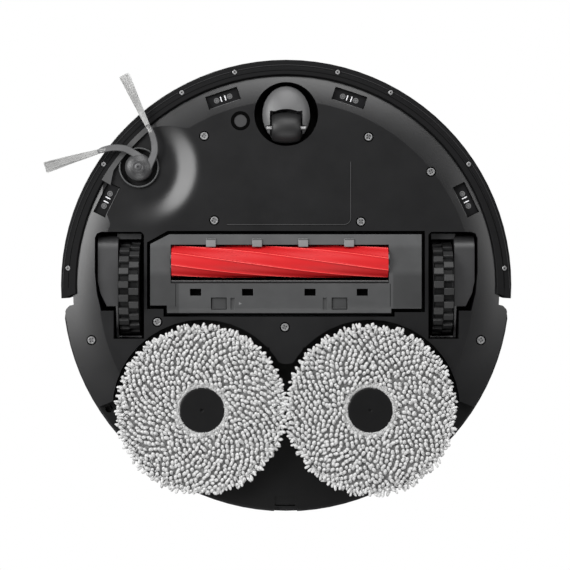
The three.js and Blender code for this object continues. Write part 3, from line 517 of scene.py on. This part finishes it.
# ------------------------------------------------------------------ mesh building
class Shape:
    """Vertices and faces that closed forms are added to."""

    def __init__(self):
        self.points = []
        self.faces = []

    def add(self, points, faces):
        start = len(self.points)
        self.points.extend(tuple(p) for p in points)
        self.faces.extend(tuple(start + i for i in f) for f in faces)

    def rings(self, loops, caps=True):
        """Joins loops of equal length into a skin; caps closes both ends."""
        count = len(loops[0])
        points = [p for loop in loops for p in loop]
        faces = []
        for i in range(len(loops) - 1):
            for k in range(count):
                n = (k + 1) % count
                faces.append((i * count + k, i * count + n, (i + 1) * count + n, (i + 1) * count + k))
        if caps:
            faces.append(tuple(range(count))[::-1])
            last = (len(loops) - 1) * count
            faces.append(tuple(range(last, last + count)))
        self.add(points, faces)

    def lathe(self, profile, centre, sides, turn=None):
        """Turns a closed profile of (radius, height) about Z, or about the axis that turn maps Z to."""
        turn = turn or Matrix.Identity(3)
        loops = []
        for i in range(sides):
            a = 2 * math.pi * i / sides
            turned = [Vector((r * math.cos(a), r * math.sin(a), z)) for r, z in profile]
            loops.append([Vector(centre) + turn @ p for p in turned])
        count = len(profile)
        points = [p for loop in loops for p in loop]
        faces = []
        for i in range(sides):
            j = (i + 1) % sides
            for k in range(count):
                n = (k + 1) % count
                faces.append((i * count + k, j * count + k, j * count + n, i * count + n))
        self.add(points, faces)

    def slab(self, outline, z0, z1):
        """A flat outline of (x, y) points, raised from z0 to z1."""
        self.rings([[(x, y, z) for x, y in outline] for z in (z0, z1)])

    def build(self, name, paint, body, slot, angle=40, bevel=0.0, tips=None):
        """Makes the piece; tips is a second paint and the faces that have it."""
        mesh = bpy.data.meshes.new(name)
        mesh.from_pydata([tuple(p) for p in self.points], [], self.faces)
        mesh.polygons.foreach_set("use_smooth", [True] * len(mesh.polygons))
        mesh.validate()
        mesh.update()
        mesh.set_sharp_from_angle(angle=math.radians(angle))
        mesh.materials.append(paint)
        if tips:
            mesh.materials.append(tips[0])
            for i in tips[1]:
                mesh.polygons[i].material_index = 1
        obj = bpy.data.objects.new(name, mesh)
        bpy.context.scene.collection.objects.link(obj)
        if bevel:
            add_bevel(obj, bevel, 30)
        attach(obj, body)
        return obj


def disc(centre, radius, sides):
    turns = [2 * math.pi / sides * i for i in range(sides)]
    return [(centre[0] + radius * math.cos(a), centre[1] + radius * math.sin(a)) for a in turns]


def scaled(points):
    """Pairs of millimetres as metres."""
    return [(a * mm, b * mm) for a, b in points]


BODY_X = centre_of("turret_cap").x
X_AXIS = Matrix(((0, 0, 1), (0, 1, 0), (-1, 0, 0)))  # turns Z to X
MINUS_X_AXIS = Matrix(((0, 0, -1), (0, 1, 0), (1, 0, 0)))  # turns Z to -X
MINUS_Y_AXIS = Matrix(((1, 0, 0), (0, 0, -1), (0, 1, 0)))  # turns Z to -Y


# ------------------------------------------------------------------ mop pads
PAD = {
    "inner": 17.5 * mm,
    "reach": 66.3 * mm,
    "left": Vector((-0.7, -0.4, 0)) * mm,
    "right": Vector((0.4, 0, 0)) * mm,
    "spacing": 3.66 * mm,
}
GOLDEN_ANGLE = 2.39996
PILE_EDGE = 1.4 * mm  # from the outermost finger of the pile to the rim
SLIP = 0.56  # how far, in millimetres, a finger strays from its even place
RIM_FINGERS = 170
RIM_LIMIT = 68.7 * mm  # no finger of the rim reaches past this
STRANDS = 420


def mop_pad(side):
    """A cloth disc with a pile of looped fingers, a frayed rim and a fluffy edge round the hub."""
    hub = centre_of(f"{side}_mop_pad")
    centre = Vector((hub.x, hub.y, 0)) + PAD[side]
    inner, reach = PAD["inner"], PAD["reach"]
    rng = random.Random(11 if side == "left" else 23)
    backing = Shape()
    base = [(inner + 2.6 * mm, 5.8), (reach - 5 * mm, 5.8), (reach - 2.4 * mm, 6.6)]
    base += [(reach - 3 * mm, 9.4), (inner, 9.8)]
    backing.lathe([(r, z * mm) for r, z in base], (hub.x, hub.y, 0), 72)
    # the backing is the darker cloth: painted shade under the pile
    backing.build(f"{side}_mop_backing_shade", BACKING_SHADE, f"{side}_mop", angle=180, slot="mop_cloth")
    swirl = [Vector((rng.gauss(0, 1), rng.gauss(0, 1), rng.uniform(0, 6.3))) * 55 for _ in range(4)]
    pile = Shape()
    area = math.pi * (reach - PILE_EDGE) ** 2
    count = round(area / PAD["spacing"] ** 2)
    for i in range(count):
        r = (reach - PILE_EDGE) * math.sqrt((i + 0.5) / count)
        a = i * GOLDEN_ANGLE
        slip = Vector((rng.gauss(0, SLIP), rng.gauss(0, SLIP), 0)) * mm
        at = Vector((r * math.cos(a), r * math.sin(a), 0)) + slip
        if (centre + at - Vector((hub.x, hub.y, 0))).length > inner + 2.7 * mm:
            drift = sum(math.sin(w.x * at.x + w.y * at.y + w.z) for w in swirl)
            lie = -math.pi / 2 + 0.45 * drift + rng.gauss(0, 0.35)
            lean = rng.uniform(0.5, 1.0)
            long, thick = rng.uniform(4.2, 5.4) * mm, rng.uniform(1.24, 1.5) * mm
            finger(pile, centre + at, lie, lean, long, thick, rng.uniform(5.4, 6.6) * mm)
    for i in range(RIM_FINGERS):
        a = 2 * math.pi * (i + rng.uniform(-0.4, 0.4)) / RIM_FINGERS
        long = rng.uniform(4.2, 6.4) * mm
        r = min(reach - rng.uniform(0.2, 4.5) * mm, RIM_LIMIT - PAD[side].length - long / 2)
        at = centre + Vector((r * math.cos(a), r * math.sin(a), 0))
        lie = a + rng.gauss(0, 0.4)
        lean, thick = rng.uniform(1.0, 1.5), rng.uniform(0.95, 1.3) * mm
        finger(pile, at, lie, lean, long, thick, rng.uniform(3.4, 7) * mm)
    pad = pile.build(f"{side}_mop_fingers", CLOTH, f"{side}_mop", angle=180, slot="mop_cloth")
    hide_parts(f"{side}_mop_pad")
    fray(side, hub, centre, rng)


def finger(shape, at, lie, lean, length, thick, high):
    """One looped finger of the pile: it hangs from the cloth and leans towards the direction lie."""
    level = Vector((math.cos(lie), math.sin(lie), 0))
    root = at - level * (length * math.sin(lean) * 0.5) + Vector((0, 0, high))
    heading = level * math.sin(lean) - Vector((0, 0, 1)) * math.cos(lean)
    side_a = Vector((-math.sin(lie), math.cos(lie), 0))
    side_b = heading.cross(side_a)
    loops = []
    for t, w in ((0, 0.7), (0.3, 0.95), (0.6, 1.06), (0.82, 0.9), (0.95, 0.6), (1.0, 0.22)):
        place = root + heading * (length * t)
        place.z = max(place.z, thick * w)
        turns = [2 * math.pi * k / 8 for k in range(8)]
        loops.append([place + (side_a * math.cos(v) + side_b * math.sin(v)) * (thick * w) for v in turns])
    shape.rings(loops)


def fray(side, hub, centre, rng):
    """The fluffy edge round the hub, and the short fibres that stand out of the rim."""
    inner, reach = PAD["inner"], PAD["reach"]
    band = Shape()
    loops = []
    sides = 150
    for i in range(sides):
        a = 2 * math.pi * i / sides
        wave = rng.uniform(-0.3, 0.25) * mm
        top = 3.9 + rng.uniform(-0.25, 0.25)
        rim = [(inner - 0.2 * mm + wave, 7), (inner + wave, top + 0.6), (inner + 1.4 * mm, top)]
        rim += [(inner + 3.4 * mm, top + 0.9), (inner + 3.6 * mm, 7)]
        loops.append([(hub.x + r * math.cos(a), hub.y + r * math.sin(a), z * mm) for r, z in rim])
    band.rings(loops + loops[:1], caps=False)
    for _ in range(STRANDS):
        a = rng.uniform(0, 2 * math.pi)
        r = inner + rng.uniform(0.5, 4.6) * mm
        at = Vector((hub.x + r * math.cos(a), hub.y + r * math.sin(a), 0))
        strand(band, rng, at, rng.uniform(3.4, 4.4) * mm, 0.42 * mm)
    for _ in range(STRANDS):
        a = rng.uniform(0, 2 * math.pi)
        r = reach - 3 * mm - abs(rng.gauss(0, 3.6)) * mm
        at = centre + Vector((r * math.cos(a), r * math.sin(a), 0))
        strand(band, rng, at, rng.uniform(2.2, 3.6) * mm, 0.4 * mm)
    band.build(f"{side}_mop_fleece", FLEECE, f"{side}_mop", angle=180, slot="mop_cloth")


def strand(shape, rng, at, high, thick):
    """A short fibre that lies across the pile."""
    lie = rng.uniform(0, 2 * math.pi)
    half = rng.uniform(0.9, 1.9) * mm
    level = Vector((math.cos(lie), math.sin(lie), 0))
    side = Vector((-math.sin(lie), math.cos(lie), 0)) * thick
    up = Vector((0, 0, thick))
    loops = []
    for t, w, lift in ((-1, 0.4, 0.5), (-0.3, 1, 0), (0.4, 1, 0.1), (1, 0.4, 0.9)):
        place = Vector((at.x, at.y, high + lift * mm)) + level * (half * t)
        loops.append([place + side * (w * math.cos(v)) + up * (w * math.sin(v)) for v in (0.3, 1.9, 3.4, 5)])
    shape.rings(loops)


# ------------------------------------------------------------------ side brush
ARM = [(6.6, 2.6, 9.8), (11.9, -9.5, 8.6), (12.6, -16, 7)]
ARM += [(11.6, -22.4, 5.6), (9.7, -27.6, 4.6), (7, -32.7, 3.8)]
TUFT_TIP = Vector((-10.9, -71, 1.4)) * mm
ARM_TURNS = (0, -82)
BRISTLES = 170
THIRD_TURN = 2.094


def along(points, t):
    """A point on the smooth curve through points, for t from 0 to 1."""
    x = t * (len(points) - 1)
    i = min(int(x), len(points) - 2)
    f = x - i
    before, start, end, after = [points[max(0, min(len(points) - 1, k))] for k in range(i - 1, i + 3)]
    first = end - before
    second = 2 * before - 5 * start + 4 * end - after
    third = 3 * start - before - 3 * end + after
    return 0.5 * ((2 * start) + first * f + second * f * f + third * f**3)


def band_loop(at, heading, half, thick):
    """A rounded band's section across its path."""
    side = heading.cross(Vector((0, 0, 1))).normalized()
    up = side.cross(heading).normalized()
    corners = [(-1, -0.45), (-0.8, -1), (0.8, -1), (1, -0.45), (1, 0.45), (0.8, 1), (-0.8, 1), (-1, 0.45)]
    return [at + side * (half * s) + up * (thick * u) for s, u in corners]


def side_brush_rings():
    """The hub's raised crown and screw, and the lip round the pit, which is open towards the bumper; the lip
    is painted grey as painted highlight.
    """
    hub = centre_of("side_brush_hub")
    crown = Shape()
    steps = [(0.05, 6.0), (2.9, 6.0), (3.3, 5.75), (4.9, 5.8)]
    steps += [(5.6, 6.3), (6.9, 6.9), (6.9, 7.6), (0.05, 7.6)]
    crown.lathe(scaled(steps), (hub.x, hub.y, 0), 40)
    crown.build("side_brush_crown", RUBBER, "side_brush", angle=30, bevel=0.2, slot="hub_rubber")
    head = Shape()
    dish = [(0.7, 5.9), (0.9, 5.45), (2.2, 5.4), (2.7, 5.6), (2.7, 6.2), (0.7, 6.2)]
    head.lathe(scaled(dish), (hub.x, hub.y, 0), 28)
    head.build("side_brush_screw_head", HUB_SCREW, "side_brush", angle=30, slot="steel")
    lip = Shape()
    section = [(14.3, 14.6), (14.35, 13.5), (14.6, 13.2), (15.35, 13.2), (15.6, 13.5), (15.7, 16)]
    loops = []
    for i in range(101):
        a = math.radians(-105 + 303 * i / 100)
        turned = [(r * mm * math.cos(a), r * mm * math.sin(a), z * mm) for r, z in section]
        loops.append([(hub.x + x, hub.y + y, z) for x, y, z in turned])
    lip.rings(loops)
    # grey paint on the black lip: painted highlight
    lip.build("side_brush_pit_lip", GREY, "chassis", angle=60, slot="black_plastic")


def brush_arm(number, turn):
    hub = centre_of("side_brush_hub")
    place = Matrix.Translation((hub.x, hub.y, 0)) @ Matrix.Rotation(math.radians(turn), 4, "Z")
    path = [Vector(p) * mm for p in ARM]
    strap = Shape()
    loops = []
    steps = 22
    for i in range(steps + 1):
        t = i / steps
        at = along(path, t)
        heading = (along(path, min(1, t + 0.01)) - along(path, max(0, t - 0.01))).normalized()
        width = (2.85 - 0.65 * t) * mm * (1 - 0.35 * max(0, (t - 0.85) / 0.15))
        loops.append([place @ p for p in band_loop(at, heading, width, (1.35 - 0.35 * t) * mm)])
    strap.rings(loops)
    piece = strap.build(f"side_brush_strap_{number}", STRAP, "side_brush", angle=50, slot="hub_rubber")
    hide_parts(f"side_brush_arm_{number}")
    rng = random.Random(40 + number)
    tuft = Shape()
    root = path[-1]
    heading = (TUFT_TIP - root).normalized()
    side = heading.cross(Vector((0, 0, 1))).normalized()
    up = side.cross(heading).normalized()
    reach = (TUFT_TIP - root).length
    spin = [(math.cos(k * THIRD_TURN), math.sin(k * THIRD_TURN)) for k in range(3)]
    for _ in range(BRISTLES):
        s = rng.uniform(-1, 1)
        u = rng.uniform(-1, 1)
        start = root - heading * (rng.uniform(1, 7) * mm) + side * (s * 1.5 * mm) + up * (u * 0.85 * mm)
        flare = s * 3.7 + rng.gauss(0, 0.35)
        end = root + heading * (reach * rng.uniform(0.96, 1.0)) + side * (flare * mm) + up * (u * 0.75 * mm)
        bow = side * (s * rng.uniform(-0.6, 0.4) * mm)
        thick = 0.16 * mm
        rings = []
        for i in range(5):
            t = i / 4
            at = start.lerp(end, t) + bow * math.sin(math.pi * t)
            ring = [at + side * (thick * across) + up * (thick * rise) for across, rise in spin]
            rings.append([place @ p for p in ring])
        tuft.rings(rings)
    tuft.build(f"side_brush_tuft_{number}", BRISTLE, "side_brush", angle=60, slot="bristle")


# ------------------------------------------------------------------ main brush
FINS = 8
FIN_HEIGHT = 0.95 * mm
FIN_TWIST = 1.93
FIN_PHASE = 0.22
# half of a fin's outline: share of the pitch, share of the height
FIN = [(0.0, 1.0), (0.02, 0.9), (0.055, 0.42), (0.11, 0.16), (0.2, 0.05), (0.34, 0.0), (0.5, 0.03)]


def main_brush():
    low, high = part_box("main_brush_roller")
    axis = (low + high) / 2
    reach = (high.z - low.z) / 2
    pin = 4 * mm
    left, right = low.x + pin, high.x - pin
    profile = FIN + [(1 - phase, rise) for phase, rise in FIN[-2:0:-1]]
    steps = 72
    loops = []
    for i in range(steps + 1):
        t = i / steps
        x = left + (right - left) * t
        loop = []
        for k in range(FINS):
            for phase, rise in profile:
                radius = reach - FIN_HEIGHT + FIN_HEIGHT * rise
                a = 2 * math.pi * (k + phase) / FINS + FIN_TWIST * t + FIN_PHASE
                loop.append(Vector((x, axis.y + radius * math.sin(a), axis.z - radius * math.cos(a))))
        loops.append(loop)
    per = len(profile)
    around = per * FINS
    # the faces along each fin's edge get the pale red of painted highlight
    tips = [i * around + k for i in range(steps) for k in range(around) if k % per in (0, per - 1)]
    shape = Shape()
    shape.rings(loops)
    edges = (RED_TIP_HIGHLIGHT, tips)
    roller = shape.build("main_brush_rubber", RED, "main_brush", angle=34, slot="red_rubber", tips=edges)
    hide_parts("main_brush_roller")
    ends = Shape()
    cap = [(0.2, 0), (9.5, 0), (9.5, 0.9), (4, 1.2), (2.2, 4), (0.2, 4)]
    for x, turn in ((left, MINUS_X_AXIS), (right, X_AXIS)):
        ends.lathe(scaled(cap), (x, axis.y, axis.z), 32, turn)
    ends.build("main_brush_ends", BLACK, "main_brush", angle=35, slot="black_plastic")
    lip = Shape()
    cover_low, cover_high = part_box("brush_cover")
    rear = -3.9 * mm
    top, edge, foot = cover_high.z - 0.4 * mm, cover_low.z + 2.6 * mm, cover_low.z + 2.2 * mm
    section = [(rear - 2.2 * mm, top), (rear - 2.2 * mm, edge), (rear - 1.5 * mm, foot)]
    section += [(rear - 0.1 * mm, foot), (rear - 0.1 * mm, top)]
    lip.rings([[(x, y, z) for y, z in section] for x in (left - 0.4 * mm, right + 0.4 * mm)])
    lip.build("brush_scraper_lip", BLACK, "brush_cover", bevel=0.2, slot="trim_plastic")


# ------------------------------------------------------------------ drive wheels
TREADS = 21
TYRE_SIDES = 84


def tyre(side):
    low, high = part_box(f"{side}_tyre")
    axle = (low + high) / 2
    reach = (high.z - low.z) / 2
    half = (high.x - low.x) / 2
    shape = Shape()
    floor = reach - 2.8 * mm
    inner = 29 * mm
    body = [(inner, -half), (floor + 0.5 * mm, -half), (floor + 1.2 * mm, -half + 0.8 * mm)]
    body += [(floor, -half + 1.4 * mm), (floor, half - 1.4 * mm), (floor + 1.2 * mm, half - 0.8 * mm)]
    body += [(floor + 0.5 * mm, half), (inner, half)]
    shape.lathe(body, axle, TYRE_SIDES, X_AXIS)
    step = 2 * math.pi / TREADS
    for column in (-1, 1):
        for i in range(TREADS):
            middle = (i + 0.25 * column) * step
            x0, x1 = sorted((column * 0.15 * mm, column * (half - 0.5 * mm)))
            tread(shape, axle, middle, step * 0.25, x0, x1, floor - 0.4 * mm, reach)
    # the tyre's body between the tread blocks is painted darker: painted shade in the gaps
    carcass_shade = (RECESS_SHADE_AND_SEAMS, range(TYRE_SIDES * len(body)))
    name, wheel = f"{side}_tyre_tread", f"{side}_wheel"
    made = shape.build(name, TYRE, wheel, angle=38, bevel=0.3, slot="wheel_rubber", tips=carcass_shade)
    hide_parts(f"{side}_tyre")


def tread(shape, axle, middle, half, x0, x1, low, high):
    """One tread block: a curved slab with sloping ends."""
    loops = []
    for share, radius in ((1.14, low), (1.0, high - 0.5 * mm), (0.9, high)):
        loop = []
        for x, way in ((x0, 1), (x1, -1)):
            for k in range(4):
                a = middle + way * half * share * (2 * k / 3 - 1)
                loop.append((axle.x + x, axle.y + radius * math.sin(a), axle.z - radius * math.cos(a)))
        loops.append(loop)
    shape.rings(loops)


def wheel_ribs(side):
    """Six ribs on the wheel's open face, towards the middle of the body."""
    tyre_low, tyre_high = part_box(f"{side}_tyre")
    axle = (tyre_low + tyre_high) / 2
    inward = 1 if side == "left" else -1
    face = tyre_high.x if inward > 0 else tyre_low.x
    shape = Shape()
    for i in range(6):
        a = math.pi / 3 * i
        turn = Matrix.Rotation(a, 3, "X")
        block = []
        for x in (0, 1.6 * mm):
            corners = [(-1.4, 9), (1.4, 9), (1.0, 25.5), (-1.0, 25.5)]
            middle = Vector((face - inward * (2.2 * mm + x), axle.y, axle.z))
            block.append([middle + turn @ Vector((0, y * mm, z * mm)) for y, z in corners])
        shape.rings(block if inward > 0 else block[::-1])
    shape.build(f"{side}_wheel_ribs", GEAR, f"{side}_wheel", bevel=0.3, slot="black_plastic")


def rear_guard(side):
    """The strip of the wheel's carrier that closes it behind the tyre."""
    low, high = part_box(f"{side}_tyre")
    bar = Shape()
    x0, x1 = low.x - 0.9 * mm, high.x + 0.9 * mm
    y0, y1 = high.y + 0.5 * mm, high.y + 1.7 * mm
    bar.rings([[(x, y0, 26 * mm), (x, y1, 25.4 * mm), (x, y1, 33 * mm), (x, y0, 33 * mm)] for x in (x0, x1)])
    bar.build(f"{side}_wheel_rear_guard", GEAR, f"{side}_suspension", bevel=0.25, slot="black_plastic")


# ------------------------------------------------------------------ small parts under the body
def plate(shape, at, side, out, corners, z0, z1):
    """A flat plate with its corners given, in millimetres, across and out from a point."""
    flat = [side * (u * mm) + out * (v * mm) for u, v in corners]
    shape.rings([[Vector((at.x, at.y, z)) + p for p in flat] for z in (z0, z1)])


def cliff_details():
    """On each sensor window, two emitters painted near-white as painted glints, two receivers in round seats
    painted grey as painted highlight, and a pale line of painted highlight along its inner edge.
    """
    for i in range(1, 5):
        low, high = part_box(f"cliff_sensor_{i}")
        middle = (low + high) / 2
        around = math.atan2(middle.x - BODY_X, -(middle.y))
        out = Vector((math.sin(around), -math.cos(around), 0))
        side = Vector((math.cos(around), math.sin(around), 0))
        bars, seats = Shape(), Shape()
        face = low.z
        for s in (-1, 1):
            at = middle + side * (s * 1.7 * mm)
            corners = [(-0.45, -2.1), (0.45, -2.1), (0.45, 2.1), (-0.45, 2.1)]
            plate(bars, at, side, out, corners, face - 0.35 * mm, face + 0.3 * mm)
            at = middle + side * (s * 5.3 * mm)
            profile = [(1.3, -0.5), (2.2, -0.5), (2.2, 0.4), (1.3, 0.4)]
            seats.lathe(scaled(profile), (at.x, at.y, face), 20)
            seats.slab(disc((at.x, at.y), 1.1 * mm, 14), face - 0.3 * mm, face + 0.3 * mm)
        corners = [(-12.2, -4.9), (12.2, -4.9), (12.2, -4.45), (-12.2, -4.45)]
        plate(seats, middle, side, out, corners, face - 0.9 * mm, face + 0.3 * mm)
        bars.build(f"cliff_emitters_{i}", GLINT, "chassis", bevel=0.2, slot="lens_plastic")
        seats.build(f"cliff_seats_{i}", DOME, "chassis", bevel=0.15, slot="lens_plastic")


BUMPER_SCREWS = (13.6, 28.5, 56.5, 85.6)  # degrees to either side of the front
BUMPER_SCREW_RADIUS = 170.1 * mm


def bumper_screws():
    """Small countersunk screws in the trim ring, each on a near-black disc of painted shade that stands for
    its round recess.
    """
    low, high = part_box("bumper_trim")
    centre_y = high.y - 10.4 * mm
    heads, well_shades = Shape(), Shape()
    for angle in BUMPER_SCREWS:
        for s in (-1, 1):
            a = math.radians(angle * s)
            x = BODY_X + BUMPER_SCREW_RADIUS * math.sin(a)
            y = centre_y - BUMPER_SCREW_RADIUS * math.cos(a)
            well_shades.slab(disc((x, y), 2.7 * mm, 18), low.z - 0.06 * mm, low.z + 0.7 * mm)
            profile = [(0.5, -0.05), (0.6, -0.3), (1.5, -0.3), (1.75, -0.15), (1.8, 0.5), (0.5, 0.5)]
            heads.lathe(scaled(profile), (x, y, low.z), 18)
    well_shades.build("bumper_screw_seats", RECESS_SHADE_AND_SEAMS, "bumper", slot="trim_plastic")
    heads.build("bumper_screw_heads", SCREW, "bumper", angle=30, slot="steel")


def trim_lines():
    """Two fine lines round the trim ring: a near-black ribbon of painted shade for a groove, and a pale
    ribbon of painted highlight for a step outside it.
    """
    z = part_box("bumper_trim")[0].z
    for name, paint, radius, half in (("groove", VOID_SHADE, 169.3, 0.2), ("step", SEAM_HIGHLIGHT, 173.4, 0.1)):
        turns = [math.radians(-90 + 180 * i / 120) for i in range(121)]
        path = [(BODY.x + radius * mm * math.sin(a), BODY.y - radius * mm * math.cos(a)) for a in turns]
        line = Shape()
        ribbon(line, path, z - 0.06 * mm, z + 0.2 * mm, half * mm)
        line.build(f"bumper_trim_{name}", paint, "bumper", angle=60, slot="trim_plastic")


def painted_rim_highlight():
    """A painted highlight: a pale strip on the rim where it passes outside the side brush's pit, standing
    for the light that the rim's slope catches there.
    """
    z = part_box("bumper_trim")[0].z
    strip = Shape()
    loops = []
    for i in range(25):
        a = math.radians(-59.6 + 18.4 * i / 24)
        away = Vector((math.sin(a), -math.cos(a)))
        inner, outer = BODY.xy + away * (162.2 - 4 * max(0, 1 - i / 5)) * mm, BODY.xy + away * 166.2 * mm
        low, high = z - 0.15 * mm, z + 0.4 * mm
        loops.append([(*inner, low), (*outer, low), (*outer, high), (*inner, high)])
    strip.rings(loops)
    strip.build("bumper_rim_highlight", RIM_HIGHLIGHT, "bumper", angle=40, bevel=0.1, slot="trim_plastic")


def underside_panel():
    """The edge of the battery's door: a fine raised line along two sides of the flat underside, painted pale
    as painted highlight on its lit edge.
    """
    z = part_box("chassis_base")[0].z
    x1, y1, r = BODY_X + 50 * mm, -49.3 * mm, 5 * mm
    path = [(x1, -98 * mm), (x1, y1 - r)]
    turns = [math.radians(a) for a in range(15, 90, 15)]
    path += [(x1 - r + r * math.cos(a), y1 - r + r * math.sin(a)) for a in turns]
    path += [(x1 - r, y1), (BODY_X - 46 * mm, y1)]
    door = Shape()
    ribbon(door, path, z - 0.14 * mm, z + 0.2 * mm, 0.24 * mm)
    door.build("battery_door_edge", SEAM_HIGHLIGHT, "chassis", angle=60, slot="black_plastic")


def ribbon(shape, path, z0, z1, half):
    """A flat strip of constant width along a path in the plane."""
    loops = []
    for i, (x, y) in enumerate(path):
        ahead = Vector(path[min(i + 1, len(path) - 1)]) - Vector(path[max(i - 1, 0)])
        side = Vector((-ahead.y, ahead.x)).normalized() * half
        a, b = (x - side.x, y - side.y), (x + side.x, y + side.y)
        loops.append([(*a, z0), (*b, z0), (*b, z1), (*a, z1)])
    shape.rings(loops)


def chassis_screws():
    """Cross-recess screws, each in its seat, which a near-black disc of painted shade darkens."""
    for i in range(1, 10):
        low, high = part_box(f"chassis_screw_{i}")
        x, y, z = (low.x + high.x) / 2, (low.y + high.y) / 2, low.z
        head = Shape()
        rim = [(1.9, 0.9), (1.95, 0.12), (2.4, 0.0), (2.85, 0.1), (3.1, 0.4), (3.1, 1.1), (1.9, 1.1)]
        head.lathe([(r * mm, z + h * mm) for r, h in rim], (x, y, 0), 28)
        turn = 0.5 + i
        for k in range(4):
            a = turn + k * math.pi / 2
            middle = a + math.pi / 4
            wedge = [(0.55, middle), (2.0, a + 0.36), (2.05, middle), (2.0, a + math.pi / 2 - 0.36)]
            outline = [(x + r * mm * math.cos(v), y + r * mm * math.sin(v)) for r, v in wedge]
            head.slab(outline, z + 0.12 * mm, z + 0.9 * mm)
        head.slab(disc((x, y), 1.4 * mm, 10), z + 0.95 * mm, z + 6 * mm)
        made = head.build(f"chassis_screw_head_{i}", SCREW, "chassis", angle=30, slot="steel")
        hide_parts(f"chassis_screw_{i}")
        # a near-black disc in the screw's hole: painted shade
        seat = Shape()
        flat = [(0.05, 1.15), (3.9, 1.15), (3.9, 1.35), (0.05, 1.35)]
        seat.lathe([(r * mm, z + h * mm) for r, h in flat], (x, y, 0), 28)
        seat.build(f"chassis_screw_seat_{i}", VOID_SHADE, "chassis", slot="black_plastic")


def carpet_ring():
    """The dark ring round the carpet sensor."""
    low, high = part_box("carpet_sensor")
    x, y = (low.x + high.x) / 2, (low.y + high.y) / 2
    shape = Shape()
    section = [(4.9, 10.2), (5.0, 9.85), (5.3, 9.75), (7.0, 9.8), (7.5, 9.95), (7.6, 10.3), (4.9, 10.6)]
    shape.lathe(scaled(section), (x, y, 0), 36)
    shape.build("carpet_sensor_ring", VOID_SHADE, "chassis", slot="trim_plastic")


def cover_details():
    """Clips along the cover's front, painted lighter than the cover as painted highlight, and the seams
    between its middle and its ends.
    """
    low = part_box("brush_cover")[0].z
    face = low + 1.2 * mm
    clips = Shape()
    for x in (-58.3, -22.5, 13.2, 48.7):
        x0, x1 = BODY_X + (x - 3.75) * mm, BODY_X + (x + 3.75) * mm
        loops = []
        for y, drop in ((-38.5, 0.5), (-37.6, 1.15), (-33, 1.6), (-31.95, 1.35)):
            z = face - drop * mm
            back = face + 0.3 * mm
            loops.append([(x0, y * mm, z), (x1, y * mm, z), (x1, y * mm, back), (x0, y * mm, back)])
        clips.rings(loops)
    clips.build("brush_cover_clips", TAB_HIGHLIGHT, "brush_cover", bevel=0.25, angle=30, slot="grey_plastic")
    seams = Shape()
    for x in (-85.6, 80.6):
        seam = [(BODY_X + x * mm, y * mm) for y in (-3.4, 14.3)]
        ribbon(seams, seam, face - 0.05 * mm, face + 0.2 * mm, 0.22 * mm)
    seams.build("brush_cover_seams", RECESS_SHADE_AND_SEAMS, "brush_cover", slot="grey_plastic")


def latch_arrow():
    """A moulded arrow beside the left latch."""
    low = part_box("brush_cover")[0]
    arrow = Shape()
    x, y = BODY_X - 35.6 * mm, 12 * mm
    outline = [(x - mm, y - 1.1 * mm), (x + 1.2 * mm, y), (x - mm, y + 1.1 * mm)]
    arrow.slab(outline, low.z + 1.1 * mm, low.z + 1.4 * mm)
    arrow.build("latch_arrow", MARK, "brush_cover", slot="grey_plastic")


def lidar_details():
    """Emitter and receiver lenses in the spinning head."""
    centre = centre_of("turret_cap")
    for number, s in ((1, -1), (2, 1)):
        lens = Shape()
        at = (centre.x + s * 9 * mm, centre.y - 30.5 * mm, 85 * mm)
        profile = [(0.05, 0), (2.4, 0), (2.4, 3.2), (1.6, 4.0), (0.7, 4.4), (0.05, 4.5)]
        lens.lathe(scaled(profile), at, 20, MINUS_Y_AXIS)
        lens.build(f"lidar_lens_{number}", LENS_PAINT, "lidar", slot="lens_plastic")


def button_marks():
    """Generic signs: a ring with a stroke for power, a pitched roof for home."""
    for name, marks in (("power_button", power_mark), ("home_button", home_mark)):
        low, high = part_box(name)
        sign = Shape()
        marks(sign, (low + high) / 2, high.z)
        sign.build(f"{name}_sign", MARK, name, slot="grey_plastic")


STROKE = 0.22 * mm  # half the width of a sign's lines


def stroke(shape, points, z):
    for a, b in zip(points, points[1:]):
        a, b = Vector(a), Vector(b)
        side = (b - a).normalized().orthogonal() * STROKE
        shape.slab([a - side, b - side, b + side, a + side], z - 0.05 * mm, z + 0.06 * mm)


def power_mark(shape, at, z):
    turns = [math.radians(t) for t in range(40, 321, 20)]
    arc = [(at.x + 2 * mm * math.sin(a), at.y - 2 * mm * math.cos(a)) for a in turns]
    stroke(shape, arc, z)
    stroke(shape, [(at.x, at.y - 2.6 * mm), (at.x, at.y - 0.3 * mm)], z)


def home_mark(shape, at, z):
    stroke(shape, [(at.x - 2.4 * mm, at.y), (at.x, at.y - 2.3 * mm), (at.x + 2.4 * mm, at.y)], z)
    half, foot = 1.7 * mm, at.y + 2 * mm
    stroke(shape, [(at.x - half, at.y), (at.x - half, foot), (at.x + half, foot), (at.x + half, at.y)], z)


for side in ("left", "right"):
    mop_pad(side)
    tyre(side)
    wheel_ribs(side)
    rear_guard(side)
for number, turn in enumerate(ARM_TURNS, 1):
    brush_arm(number, turn)
side_brush_rings()
main_brush()
cliff_details()
chassis_screws()
carpet_ring()
cover_details()
bumper_screws()
underside_panel()
trim_lines()
painted_rim_highlight()
latch_arrow()
lidar_details()
button_marks()
